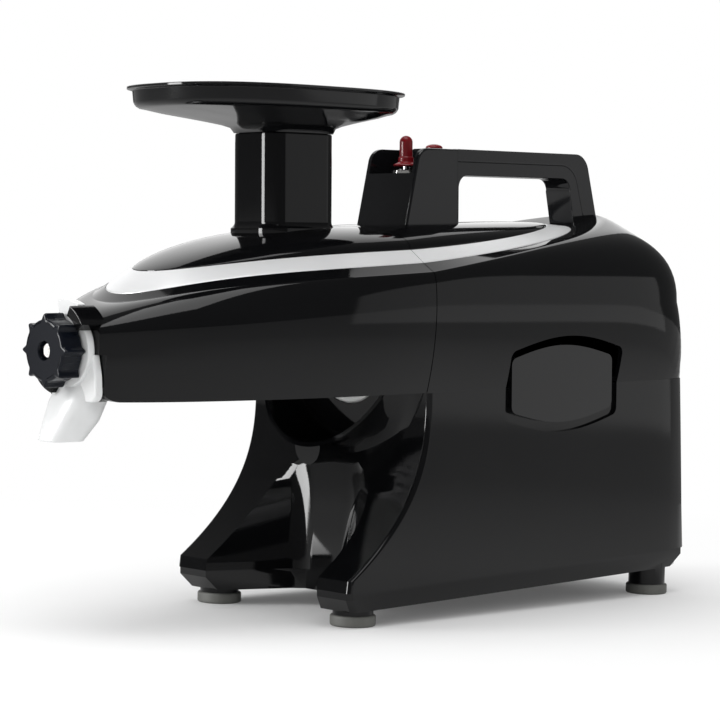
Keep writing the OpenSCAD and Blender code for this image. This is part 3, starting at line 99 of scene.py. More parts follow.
# handle, tower and switches
GRIP_HALF = 11
TOWER_HALF = 22.4
TOWER_REAR_X = 134
TOWER_FOOT_Z = 222
PARTING_Z = 274.1
LEG_FOOT_Z = 230
TOGGLE_X, BUTTON_X = 101, 126
PANEL_Z, BUTTON_Z = 266, 279.9
UP = (0, 0, 1)

# hopper: fullness of its oval
RIM_POWER = 2.8


def centre_shift():
    """Distance from the front feet to the middle of the machine, along the ground."""
    front = KNOB_FACE_X * math.cos(TIP) - (KNOB_Z + 20.5) * math.sin(TIP)
    rear = 298 * math.cos(TIP) - BASE_SEAM * math.sin(TIP)
    return (front + rear) / 2


STAND = (
    Matrix.Scale(0.001, 4)
    @ Matrix.Translation((-centre_shift(), 0, 0))
    @ Matrix.Rotation(-TIP, 4, "Y")
)


def mix(a, b, t):
    return a + (b - a) * t


def sin_d(angle):
    return math.sin(math.radians(angle))


def cos_d(angle):
    return math.cos(math.radians(angle))


def oval(length, width, angle, power=2.0):
    """Plan distance of a superellipse from its centre, at an angle from the side."""
    along = (abs(sin_d(angle)) / length) ** power
    across = (abs(cos_d(angle)) / width) ** power
    return (along + across) ** (-1 / power)


def arc(cx, cy, radius, start, end, steps):
    return [
        (cx + radius * cos_d(mix(start, end, i / steps)), cy + radius * sin_d(mix(start, end, i / steps)))
        for i in range(steps + 1)
    ]


# ---------- handling of meshes ----------


def pick_only(obj):
    """Deselect everything, then make one object selected and active."""
    bpy.ops.object.select_all(action="DESELECT")
    obj.select_set(True)
    bpy.context.view_layer.objects.active = obj


def from_points(name, points, faces, edges=()):
    mesh = bpy.data.meshes.new(name)
    mesh.from_pydata([tuple(p) for p in points], edges, faces)
    mesh.update()
    obj = bpy.data.objects.new(name, mesh)
    bpy.context.scene.collection.objects.link(obj)
    return obj


def grid(name, rows, ring=False, loop=False, caps=False):
    """Skin over rows of points; faces look out where columns turn left and rows rise."""
    count = len(rows[0])
    points = [p for row in rows for p in row]
    faces = []
    row_pairs = [(i, (i + 1) % len(rows)) for i in range(len(rows) if loop else len(rows) - 1)]
    for i, m in row_pairs:
        for j in range(count if ring else count - 1):
            k = (j + 1) % count
            faces.append((i * count + j, i * count + k, m * count + k, m * count + j))
    if caps:
        top = (len(rows) - 1) * count
        faces += [tuple(range(count - 1, -1, -1)), tuple(range(top, top + count))]
    obj = from_points(name, points, faces)
    weld(obj)
    return obj


class Editing:
    """Edit mode on one object, with all of it selected."""

    def __init__(self, obj):
        self.obj = obj

    def __enter__(self):
        pick_only(self.obj)
        bpy.ops.object.mode_set(mode="EDIT")
        bpy.ops.mesh.select_all(action="SELECT")

    def __exit__(self, *details):
        bpy.ops.object.mode_set(mode="OBJECT")


def weld(obj, distance=0.002):
    with Editing(obj):
        bpy.ops.mesh.remove_doubles(threshold=distance)


def face_out(obj):
    with Editing(obj):
        bpy.ops.mesh.normals_make_consistent(inside=False)


def closed(name, rings):
    """Solid body through rings of points, capped at both ends."""
    body = grid(name, rings, ring=True, caps=True)
    face_out(body)
    return body


def apply(obj, kind, **settings):
    """Add one modifier to an object and apply it."""
    pick_only(obj)
    modifier = obj.modifiers.new(kind.title(), kind)
    for key, value in settings.items():
        setattr(modifier, key, value)
    bpy.ops.object.modifier_apply(modifier=modifier.name)


def drop(obj):
    bpy.data.objects.remove(obj, do_unlink=True)


def carve(obj, tool, operation="DIFFERENCE"):
    apply(obj, "BOOLEAN", operation=operation, solver="EXACT", object=tool)
    drop(tool)
    weld(obj, 0.004)


def slab(name, outline, start, end, axis="Y"):
    """Closed outline, drawn as a face and extruded along an axis."""
    place = {
        "X": lambda p: (start, p[0], p[1]),
        "Y": lambda p: (p[0], start, p[1]),
        "Z": lambda p: (p[0], p[1], start),
    }[axis]
    obj = from_points(name, [place(p) for p in outline], [tuple(range(len(outline)))])
    move = [(end - start) if letter == axis else 0 for letter in "XYZ"]
    with Editing(obj):
        bpy.ops.mesh.extrude_region_move(TRANSFORM_OT_translate={"value": move})
    face_out(obj)
    return obj


def turned(name, profile, centre, axis, steps=96):
    """Profile of radius and height, spun a full turn about an axis through a centre."""
    axis = Vector(axis).normalized()
    side = axis.orthogonal().normalized()
    centre = Vector(centre)
    points = [centre + side * r + axis * h for r, h in profile]
    obj = from_points(name, points, [], [(i, i + 1) for i in range(len(points) - 1)])
    with Editing(obj):
        bpy.ops.mesh.spin(steps=steps, angle=2 * math.pi, center=centre, axis=axis)
        bpy.ops.mesh.select_all(action="SELECT")
        bpy.ops.mesh.remove_doubles(threshold=0.003)
        bpy.ops.mesh.normals_make_consistent(inside=False)
    return obj


def rod(radius, low, high, centre, axis=(1, 0, 0), steps=96):
    """Plain cylinder between two heights on an axis, to bore a hole or to be joined on."""
    return turned("rod", [(0, low), (radius, low), (radius, high), (0, high)], centre, axis, steps)


def round_edges(obj, width, segments, wanted):
    """Bevel the edges whose middle and direction are wanted."""
    pick_only(obj)
    bpy.ops.object.mode_set(mode="EDIT")
    bpy.ops.mesh.select_mode(type="EDGE")
    bpy.ops.mesh.select_all(action="DESELECT")
    bpy.ops.object.mode_set(mode="OBJECT")
    mesh = obj.data
    for edge in mesh.edges:
        a, b = (mesh.vertices[v].co for v in edge.vertices)
        edge.select = bool(wanted((a + b) / 2, (b - a).normalized()))
    bpy.ops.object.mode_set(mode="EDIT")
    bpy.ops.mesh.bevel(offset=width, segments=segments, affect="EDGES", clamp_overlap=True)
    bpy.ops.mesh.select_mode(type="VERT")
    bpy.ops.object.mode_set(mode="OBJECT")


def bisect(obj, point, normal):
    """Cut off what lies beyond a plane and close the cut."""
    with Editing(obj):
        bpy.ops.mesh.bisect(plane_co=point, plane_no=normal, use_fill=True, clear_outer=True)


def settle(obj, body, slot, nodes=(), smooth=32, placed=True, weighted=True):
    """Seat a finished piece in the frame, smooth it, hang it on the body it rides on and hide the nodes it
    stands for.
    """
    if placed:
        obj.data.transform(STAND)
    obj.data.update()
    pick_only(obj)
    bpy.ops.object.shade_smooth_by_angle(angle=math.radians(smooth))
    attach(obj, body)
    if nodes:
        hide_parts(*nodes)
    obj.data.materials.clear()
    obj.data.materials.append(finish_of(slot))
    if weighted:
        apply(obj, "WEIGHTED_NORMAL", keep_sharp=True, weight=50)
    return obj


def dressed_copy(name, node, body, slot, bevel=0.0005, segments=2, angle=35, flat=1.0):
    """Copy of a CAD node with its doubles merged, flat areas joined and edges rounded."""
    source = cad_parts[node]
    obj = bpy.data.objects.new(name, source.data.copy())
    obj.data.name = name
    bpy.context.scene.collection.objects.link(obj)
    with Editing(obj):
        bpy.ops.mesh.remove_doubles(threshold=0.000004)
        bpy.ops.mesh.dissolve_limited(angle_limit=math.radians(flat))
    if bevel:
        apply(obj, "BEVEL", width=bevel, segments=segments, limit_method="ANGLE",
              angle_limit=math.radians(angle), harden_normals=False)
    return settle(obj, body, slot, (node,), placed=False)


# ---------- finishes ----------


class Signal:
    """Output socket that takes part in arithmetic; each operator adds its Math node."""

    def __init__(self, finish, socket):
        self.finish = finish
        self.socket = socket

    def _math(self, operation, first, second):
        return self.finish.node("ShaderNodeMath", {"operation": operation}, {0: first, 1: second})

    def __add__(self, other):
        return self._math("ADD", self, other)

    def __radd__(self, other):
        return self._math("ADD", other, self)

    def __sub__(self, other):
        return self._math("SUBTRACT", self, other)

    def __mul__(self, other):
        return self._math("MULTIPLY", self, other)

    def __rmul__(self, other):
        return self._math("MULTIPLY", other, self)


class Finish:
    """Material under construction."""

    def __init__(self, name):
        self.material = bpy.data.materials.new(name)
        self.material.use_nodes = True
        self.tree = self.material.node_tree
        self.tree.nodes.clear()

    def node(self, kind, settings=None, inputs=None, output=0):
        """Add a node, with its settings and the values or signals of its sockets."""
        made = self.tree.nodes.new(kind)
        for key, value in (settings or {}).items():
            setattr(made, key, value)
        for key, value in (inputs or {}).items():
            self.feed(made.inputs[key], value)
        return Signal(self, made.outputs[output])

    def feed(self, socket, value):
        if isinstance(value, Signal):
            self.tree.links.new(value.socket, socket)
            return
        if isinstance(value, tuple) and len(socket.default_value) > len(value):
            value = (*value, 1)
        socket.default_value = value

    def place(self, stretch=(1, 1, 1)):
        """Object coordinates, stretched along the axes."""
        coords = self.node("ShaderNodeTexCoord", output=3)
        if stretch == (1, 1, 1):
            return coords
        return self.node("ShaderNodeMapping", None, {"Vector": coords, "Scale": stretch})

    def noise(self, scale, detail=3.0, rough=0.5, stretch=(1, 1, 1)):
        sockets = {"Vector": self.place(stretch), "Scale": scale, "Detail": detail, "Roughness": rough}
        return self.node("ShaderNodeTexNoise", None, sockets)

    def blend(self, amount, first, second):
        """Colour between two, by an amount."""
        settings = {"data_type": "RGBA", "clamp_factor": True}
        return self.node("ShaderNodeMix", settings, {0: amount, 6: first, 7: second}, output=2)

    def drift(self, cloud, colour, dark, pale, high=0.7):
        """Colour that drifts between a darker and a paler shade."""
        return self.blend(self.ramp(cloud, 0.3, high), shade(colour, dark), shade(colour, pale))

    def bands(self, direction, scale, distortion):
        """Stripes that repeat along one direction."""
        settings = {"wave_type": "BANDS", "bands_direction": direction}
        sockets = {"Vector": self.place(), "Scale": scale, "Distortion": distortion, "Detail": 1.0}
        return self.node("ShaderNodeTexWave", settings, sockets, output=1)

    def ramp(self, value, low, high):
        """Signal that climbs from 0 to 1 between two values."""
        return self.node("ShaderNodeMapRange", {"clamp": True}, {0: value, 1: low, 2: high, 3: 0.0, 4: 1.0})

    def bump(self, height, strength, distance):
        sockets = {"Height": height, "Strength": strength, "Distance": distance}
        return self.node("ShaderNodeBump", None, sockets)

    def surface(self, **sockets):
        made = self.tree.nodes.new("ShaderNodeBsdfPrincipled")
        for key, value in sockets.items():
            self.feed(made.inputs[key.replace("_", " ")], value)
        out = self.tree.nodes.new("ShaderNodeOutputMaterial")
        self.tree.links.new(made.outputs[0], out.inputs[0])
        return self.material


def shade(colour, factor):
    return tuple(min(1.0, c * factor) for c in colour)


def moulded(name, colour, roughness, ior, texture=0.03, grain=1400.0, spread=0.12, wave=0.0, metallic=0.0):
    """Moulded plastic: faint colour drift, uneven polish and a fine skin."""
    f = Finish(name)
    cloud = f.noise(14.0, 4.0, 0.6)
    fine = f.noise(grain, 2.0, 0.5)
    base = f.drift(cloud, colour, 1 - spread, 1 + spread)
    polish = roughness + (cloud - 0.5) * (roughness * 0.5) + (fine - 0.5) * (roughness * 0.25)
    height = fine * texture + f.noise(22.0, 1.0, 0.4) * wave
    return f.surface(Base_Color=base, Roughness=polish, IOR=ior, Metallic=metallic,
                     Normal=f.bump(height, 1.0, 0.0006))


def metal(name, colour, roughness, brush=(1, 1, 1), grain=420.0, depth=0.02, spread=0.08):
    """Bare metal with a drawn or turned grain."""
    f = Finish(name)
    lines = f.noise(grain, 3.0, 0.6, brush)
    cloud = f.noise(30.0, 3.0, 0.5)
    base = f.drift(cloud, colour, 1 - spread, 1 + spread * 0.5)
    polish = roughness + (lines - 0.5) * (roughness * 0.5) + (cloud - 0.5) * (roughness * 0.3)
    return f.surface(Base_Color=base, Metallic=1.0, Roughness=polish,
                     Normal=f.bump(lines * depth, 1.0, 0.0005))


def rubber(name, colour):
    f = Finish(name)
    fine = f.noise(1600.0, 2.0, 0.6)
    cloud = f.noise(90.0, 4.0, 0.6)
    base = f.drift(cloud, colour, 0.88, 1.12, 0.75)
    return f.surface(Base_Color=base, Roughness=0.62 + (cloud - 0.5) * 0.15, IOR=1.45,
                     Normal=f.bump(fine * 0.25, 1.0, 0.0004))


def wound_copper(name):
    f = Finish(name)
    wires = f.bands("DIAGONAL", 420.0, 1.5)
    base = f.blend(wires, (0.30, 0.085, 0.028), (0.72, 0.30, 0.12))
    return f.surface(Base_Color=base, Metallic=0.85, Roughness=0.34 + wires * 0.1,
                     Normal=f.bump(wires, 0.6, 0.0004))


def milky(name, colour, through, roughness=0.3):
    """Half clear white plastic."""
    f = Finish(name)
    cloud = f.noise(26.0, 4.0, 0.55)
    fine = f.noise(1500.0, 2.0, 0.5)
    base = f.drift(cloud, colour, 0.93, 1.03)
    return f.surface(Base_Color=base, Roughness=roughness + (cloud - 0.5) * 0.12, IOR=1.49,
                     Transmission_Weight=through, Normal=f.bump(fine * 0.05, 1.0, 0.0004))


def laminated(name, colour):
    """Stack of thin steel sheets, seen along the axis of the machine."""
    f = Finish(name)
    sheets = f.bands("X", 300.0, 0.2)
    base = f.blend(sheets, shade(colour, 0.6), shade(colour, 1.15))
    return f.surface(Base_Color=base, Metallic=0.9, Roughness=0.42 + sheets * 0.1,
                     Normal=f.bump(sheets, 0.4, 0.0003))


def recipes():
    """How each slot of the record is made: its kind of material, then that kind's values."""
    tones = bpy.context.scene.juicer_finish
    black, gloss = tuple(tones.housing), tones.gloss
    lengthwise = (40, 1, 1)
    return {
        "housing_black": (moulded, black, gloss, 1.33, 0.010, 1500, 0.15, 0.05),
        "handle_black": (moulded, shade(black, 2.2), gloss * 1.4, 1.42, 0.004, 1300, 0.15, 0.03),
        "hopper_black": (moulded, shade(black, 1.1), gloss * 1.4, 1.36, 0.010, 1500, 0.15, 0.04),
        "badge_black": (moulded, shade(black, 1.1), gloss * 0.8, 1.40, 0.006, 1500, 0.1),
        "trim_silver": (moulded, tuple(tones.trim), 0.34, 1.5, 0.02, 1500, 0.02, 0.0, 0.3),
        "foot_rubber": (rubber, tuple(tones.feet)),
        "screw_steel": (metal, (0.78, 0.77, 0.75), 0.28),
        "cap_white": (milky, (0.80, 0.81, 0.80), 0.05, 0.35),
        "switch_body": (moulded, (0.02, 0.02, 0.022), 0.38, 1.45, 0.05),
        "boot_red": (moulded, tuple(tones.boot), 0.30, 1.38, 0.01, 900, 0.1),
        "cast_alloy": (metal, (0.56, 0.57, 0.58), 0.46, (1, 1, 1), 700.0, 0.12),
        "stator_steel": (laminated, (0.42, 0.43, 0.45)),
        "copper_winding": (wound_copper,),
        "shaft_steel": (metal, (0.68, 0.68, 0.69), 0.2, lengthwise, 40.0, 0.02),
        "capacitor_can": (metal, (0.72, 0.73, 0.75), 0.32, lengthwise, 30.0, 0.02),
        "gear_white": (moulded, (0.72, 0.70, 0.62), 0.36, 1.5, 0.03),
        "bush_brass": (metal, (0.72, 0.50, 0.20), 0.28, lengthwise, 40.0),
        "chamber_white": (milky, (0.78, 0.79, 0.77), 0.25, 0.3),
        "press_steel": (metal, (0.70, 0.70, 0.71), 0.22, (30, 1, 1), 40.0, 0.02),
        "outlet_white": (milky, (0.86, 0.87, 0.87), 0.12, 0.32),
        "knob_slate": (moulded, tuple(tones.knob), 0.22, 1.25, 0.012, 1300, 0.1),
    }


finishes = {}


def finish_of(slot):
    """Material of a slot in the record, made the first time it is asked for."""
    if slot not in finishes:
        make, *values = recipes()[slot]
        finishes[slot] = make(slot, *values)
    return finishes[slot]


# ---------- settings ----------


class JuicerSizes(bpy.types.PropertyGroup):
    """Sizes of the dressed pieces, in millimetres."""

    crown_height: bpy.props.FloatProperty(
        name="Crown height", description="Top of the domed cover above the front feet, mm", default=232.7,
        min=225, max=240)
    waist_half_width: bpy.props.FloatProperty(
        name="Waist half width", description="Half of the widest part of the body, mm", default=86.0,
        min=80, max=86)
    seam_half_width: bpy.props.FloatProperty(
        name="Seam half width", description="Half width of the housing at its middle seam, mm",
        default=78.2, min=74, max=80)
    wall: bpy.props.FloatProperty(
        name="Wall", description="Thickness of the moulded shells, mm", default=3.2, min=2, max=5)
    trim_depth: bpy.props.FloatProperty(
        name="Trim rebate depth", description="Depth of the groove that holds the bright trim, mm",
        default=1.6, min=0.8, max=2.5)
    grip_round: bpy.props.FloatProperty(
        name="Grip rounding", description="Radius along the edges of the carrying handle, mm",
        default=3.0, min=0.5, max=5)
    lobe_depth: bpy.props.FloatProperty(
        name="Knob lobe depth", description="Depth of the valleys round the knob, mm", default=3.2, min=1,
        max=4)


class JuicerFinish(bpy.types.PropertyGroup):
    """Colours and polish of the visible finishes."""

    housing: bpy.props.FloatVectorProperty(
        name="Housing", description="Colour of the gloss black mouldings", subtype="COLOR", size=3, min=0,
        max=1, default=(0.0028, 0.0029, 0.0033))
    gloss: bpy.props.FloatProperty(
        name="Gloss roughness", description="Roughness of the gloss black mouldings", subtype="FACTOR",
        default=0.06, min=0.02, max=0.5)
    trim: bpy.props.FloatVectorProperty(
        name="Trim", description="Colour of the bright trim strip", subtype="COLOR", size=3, min=0, max=1,
        default=(0.78, 0.785, 0.79))
    knob: bpy.props.FloatVectorProperty(
        name="Knob", description="Colour of the pressure knob", subtype="COLOR", size=3, min=0, max=1,
        default=(0.0038, 0.0050, 0.0085))
    boot: bpy.props.FloatVectorProperty(
        name="Switch boot", description="Colour of the switch boot and the push button", subtype="COLOR",
        size=3, min=0, max=1, default=(0.17, 0.002, 0.006))
    feet: bpy.props.FloatVectorProperty(
        name="Feet", description="Colour of the rubber feet", subtype="COLOR", size=3, min=0, max=1,
        default=(0.12, 0.122, 0.112))


class JuicerStudio(bpy.types.PropertyGroup):
    """Floor and light of the studio."""

    floor_tone: bpy.props.FloatProperty(
        name="Floor tone", description="Paleness of the floor", subtype="FACTOR", default=0.88, min=0.2,
        max=1)
    room_light: bpy.props.FloatProperty(
        name="Room light", description="Strength of the even light from all sides", default=0.78, min=0,
        max=2)
    mirrored_room: bpy.props.FloatProperty(
        name="Mirrored room", description="Strength of the room as polished surfaces show it",
        subtype="FACTOR", default=0.16, min=0, max=1)
    key_power: bpy.props.FloatProperty(
        name="Key power", description="Power of the large lamp overhead", subtype="POWER", unit="POWER",
        default=12.0, min=0, max=200)
    side_power: bpy.props.FloatProperty(
        name="Side power", description="Power of the soft lamp at the left", subtype="POWER",
        unit="POWER", default=14.0, min=0, max=200)
    strip_power: bpy.props.FloatProperty(
        name="Strip power", description="Power of the tall strips that show in the gloss",
        subtype="POWER", unit="POWER", default=48.0, min=0, max=200)
    back_power: bpy.props.FloatProperty(
        name="Back power",
        description="Power of the wide panel behind the object that shows in the gloss",
        subtype="POWER", unit="POWER", default=11.0, min=0, max=200)
    front_power: bpy.props.FloatProperty(
        name="Front power", description="Power of the panel at the front right that shows in the gloss",
        subtype="POWER", unit="POWER", default=0.95, min=0, max=200)


# ---------- skin of the body and head ----------


def ray_angles(length, width):
    """Angles from one side round the end to the other, closer together at the end."""
    angles = []
    for i in range(COLUMNS + 1):
        t = 180 * i / COLUMNS
        if abs(t - 90) < 1e-6:
            angles.append(90.0)
        elif t < 90:
            angles.append(math.degrees(math.atan(length / width * math.tan(math.radians(t)))))
        else:
            angles.append(180 - math.degrees(math.atan(length / width * math.tan(math.radians(180 - t)))))
    return angles


def body_point(radius, angle, z):
    back = radius * sin_d(angle)
    side = radius * cos_d(angle)
    share = back / REACH
    return (
        JOINT_X + back - 1.6 * (share * side / WAIST_HALF) ** 2,
        -side * (1 - 0.035 * max(share, 0.0) ** 1.4),
        z,
    )


def side_width(t, sizes):
    return mix(sizes.seam_half_width, sizes.waist_half_width, 1 - (1 - t) ** 1.85)


def round_share(k, steps, power=2.3):
    """Plan and height share of the superellipse that rounds a shoulder."""
    turn = 90 * k / steps
    return max(0.0, cos_d(turn)) ** (2 / power), sin_d(turn) ** (2 / power)


def dome_share(f, power=2.3):
    return (1 - min(1.0, f) ** 2.3) ** (1 / power)


def climb(back, slope, bow):
    return slope * back + bow * back * back


def body_rows(sizes):
    rays = ray_angles(REACH, WAIST_HALF)
    rows = []
    for i in range(SIDE_STEPS + 1):
        t = i / SIDE_STEPS
        z, reach, power = mix(MID_SEAM, WAIST_Z, t), mix(292, 287, t) - JOINT_X, mix(22, 12, t)
        rows.append([body_point(oval(reach, side_width(t, sizes), a, power), a, z) for a in rays])
    for k in range(1, SHOULDER_STEPS + 1):
        share, lift = round_share(k, SHOULDER_STEPS)
        row = []
        for a in rays:
            outer = oval(REACH, sizes.waist_half_width, a, 12)
            inner = oval(CREASE_REACH, CREASE_HALF, a)
            crest = CREASE_Z + climb(inner * sin_d(a), 0.13, 0.00013)
            row.append(body_point(inner + (outer - inner) * share, a, mix(WAIST_Z, crest, lift)))
        rows.append(row)
    outer = [(oval(CREASE_REACH - 28, BAND_OUT_HALF, a), a) for a in rays]
    inner = [(oval(CREASE_REACH - 50, BAND_IN_HALF, a), a) for a in rays]
    out_row = [body_point(r, a, BAND_OUT_Z + climb(r * sin_d(a), 0.085, 0.00016)) for r, a in outer]
    in_row = [body_point(r, a, BAND_IN_Z + climb(r * sin_d(a), 0.06, 0.0002)) for r, a in inner]
    crown = []
    for k in range(1, CROWN_STEPS):
        f = cos_d(90 * k / CROWN_STEPS)
        g = dome_share(f)
        row = []
        for (r, a), p in zip(inner, in_row):
            row.append(body_point(r * f, a, mix(p[2], sizes.crown_height + 6 * f * sin_d(a), g)))
        crown.append(row)
    crown.append([(JOINT_X, 0, sizes.crown_height)] * len(rays))
    return rows, out_row, in_row, crown


def head_point(radius, angle, z, end=HEAD_END_X):
    return (end - radius * sin_d(angle), radius * cos_d(angle), z)


def head_row(length, width, joint_z, tip_z, rays, dip=0.0, power=5):
    """Row of the head that falls to its tip, with a last dip near the nose."""
    row = []
    for a in rays:
        r = oval(length, width, a)
        share = r * sin_d(a) / length
        row.append(head_point(r, a, mix(joint_z, tip_z, share) - dip * max(share, 0.0) ** power))
    return row


def head_rows(sizes):
    rays = ray_angles(HEAD_REACH, WAIST_HALF)
    rows = []
    for i in range(SIDE_STEPS + 1):
        t = i / SIDE_STEPS
        z = mix(MID_SEAM + 0.3, WAIST_Z, t)
        drop_z = 12 * t**2.2
        rows.append(head_row(HEAD_REACH + 2 * min(1, 2 * t), side_width(t, sizes), z, z - drop_z, rays))
    for k in range(1, SHOULDER_STEPS + 1):
        share, lift = round_share(k, SHOULDER_STEPS)
        tip_share, tip_lift = round_share(k, SHOULDER_STEPS, 1.35)
        rows.append(head_row(174 + 34 * tip_share, CREASE_HALF + 3.7 * share, mix(WAIST_Z, CREASE_Z, lift),
                             mix(173, 198, tip_lift), rays, 9 * tip_lift))
    out_row = head_row(BAND_OUT_REACH, BAND_OUT_HALF, BAND_OUT_Z, 202.7, rays, 9.2)
    in_row = head_row(BAND_IN_REACH, BAND_IN_HALF, BAND_IN_Z, 213.0, rays, 6.5, 3)
    crown = []
    for k in range(1, CROWN_STEPS):
        f = cos_d(90 * k / CROWN_STEPS)
        row = []
        for a, p in zip(rays, in_row):
            r = oval(BAND_IN_REACH, BAND_IN_HALF, a)
            g = dome_share(f, mix(2.3, 1.1, r * sin_d(a) / BAND_IN_REACH))
            row.append(head_point(r * f, a, mix(p[2], sizes.crown_height, g)))
        crown.append(row)
    crown.append([(HEAD_END_X, 0, sizes.crown_height)] * len(rays))
    return rows, out_row, in_row, crown


def lowered(row, depth):
    return [(p[0], p[1], p[2] - depth) for p in row]


def between(a, b, t):
    return [tuple(mix(p[i], q[i], t) for i in range(3)) for p, q in zip(a, b)]


def shell_skin(name, parts, sizes):
    """Moulded shell with its rebate for the trim strip."""
    rows, out_row, in_row, crown = parts
    depth = sizes.trim_depth
    rebate = [out_row, lowered(out_row, depth), lowered(in_row, depth), in_row]
    shell = grid(name, rows + rebate + crown)
    apply(shell, "SOLIDIFY", thickness=sizes.wall, offset=-1)
    return shell


def trim_piece(name, out_row, in_row, depth):
    """Strip in the rebate, a touch proud and with softened edges."""
    width = BAND_OUT_HALF - BAND_IN_HALF
    fit, soft = 0.15 / width, 0.5 / width
    a, b = between(out_row, in_row, fit), between(out_row, in_row, 1 - fit)
    a2, b2 = between(out_row, in_row, fit + soft), between(out_row, in_row, 1 - fit - soft)
    seat = depth - 0.02
    rows = [(a, seat), (a, 0.25), (a2, -0.2), (b2, -0.2), (b, 0.25), (b, seat)]
    strip = grid(name, [lowered(row, down) for row, down in rows], loop=True)
    close_ends(strip)
    return strip


def close_ends(obj):
    """Fill open boundary loops, such as the ends of a strip."""
    pick_only(obj)
    bpy.ops.object.mode_set(mode="EDIT")
    bpy.ops.mesh.select_mode(type="EDGE")
    bpy.ops.mesh.select_all(action="DESELECT")
    bpy.ops.mesh.select_non_manifold(extend=False, use_wire=False, use_boundary=True, use_multi_face=False,
                                     use_non_contiguous=False, use_verts=False)
    bpy.ops.mesh.edge_face_add()
    bpy.ops.mesh.select_mode(type="VERT")
    bpy.ops.object.mode_set(mode="OBJECT")


def badge_outline(inset, steps=28):
    length, half, bow = 53 - inset, 21 - 0.8 * inset, 9 - 0.2 * inset
    shares = [i / steps for i in range(steps + 1)]
    low = [(mix(-length, length, t), -half - bow * sin_d(180 * t)) for t in shares]
    high = [(mix(length, -length, t), half + bow * sin_d(180 * t)) for t in shares]
    return [(PLATE_X + x, PLATE_Z + z) for x, z in low + high]


def badge_tool():
    tool = slab("badge_tool", badge_outline(0), PLATE_FLOOR_Y, -100)
    round_edges(tool, 6, 6, badge_corner)
    return tool


def badge_corner(mid, way):
    """True for the four short edges at the corners of the side plate."""
    return abs(way.y) > 0.9 and abs(mid.x - PLATE_X) > 52.9


# ---------- pieces ----------


class PieceOperator(bpy.types.Operator):
    """Shared settings of the operators that model pieces"""

    bl_options = {"REGISTER", "UNDO"}

    def sizes(self, context):
        return context.scene.juicer_sizes


class JUICER_OT_body_shell(PieceOperator):
    """Model the domed cover of the motor body"""

    bl_idname = "juicer.body_shell"
    bl_label = "Body cover"

    def execute(self, context):
        sizes = self.sizes(context)
        parts = body_rows(sizes)
        sides, out_row, in_row, crown = parts
        shell = shell_skin("body_cover", parts, sizes)
        carve(shell, badge_tool())
        settle(shell, "machine", "housing_black", ("upper_housing",))
        outline = [(row[0][1], row[0][2]) for row in sides + [out_row, in_row] + crown[:-1]]
        outline += [(0, sizes.crown_height)]
        outline += [(-y, z) for y, z in reversed(outline[:-1])]
        inner = [(y * 0.985, mix(DRIVE_Z, z, 0.985)) for y, z in outline]
        wall = slab("body_front", inner, JOINT_X + 0.15, JOINT_X + 3.3, axis="X")
        carve(wall, rod(BORE_RADIUS, -8, 8, (JOINT_X, 0, DRIVE_Z)))
        settle(wall, "machine", "housing_black", ("upper_housing",))
        strip = trim_piece("body_band", out_row, in_row, sizes.trim_depth)
        settle(strip, "machine", "trim_silver", ("body_trim",), smooth=40)
        return {"FINISHED"}


def chute_ring(grow, z, steps=8):
    half_l, half_w, radius = 26.5 + grow, 20.5 + grow, max(11 + grow, 2)
    ring = []
    for cx, cy, start in ((1, 1, 0), (-1, 1, 90), (-1, -1, 180), (1, -1, 270)):
        ring += arc(cx * (half_l - radius), cy * (half_w - radius), radius, start, start + 90, steps)
    return [(CHUTE_X + x, y, z) for x, y in ring]


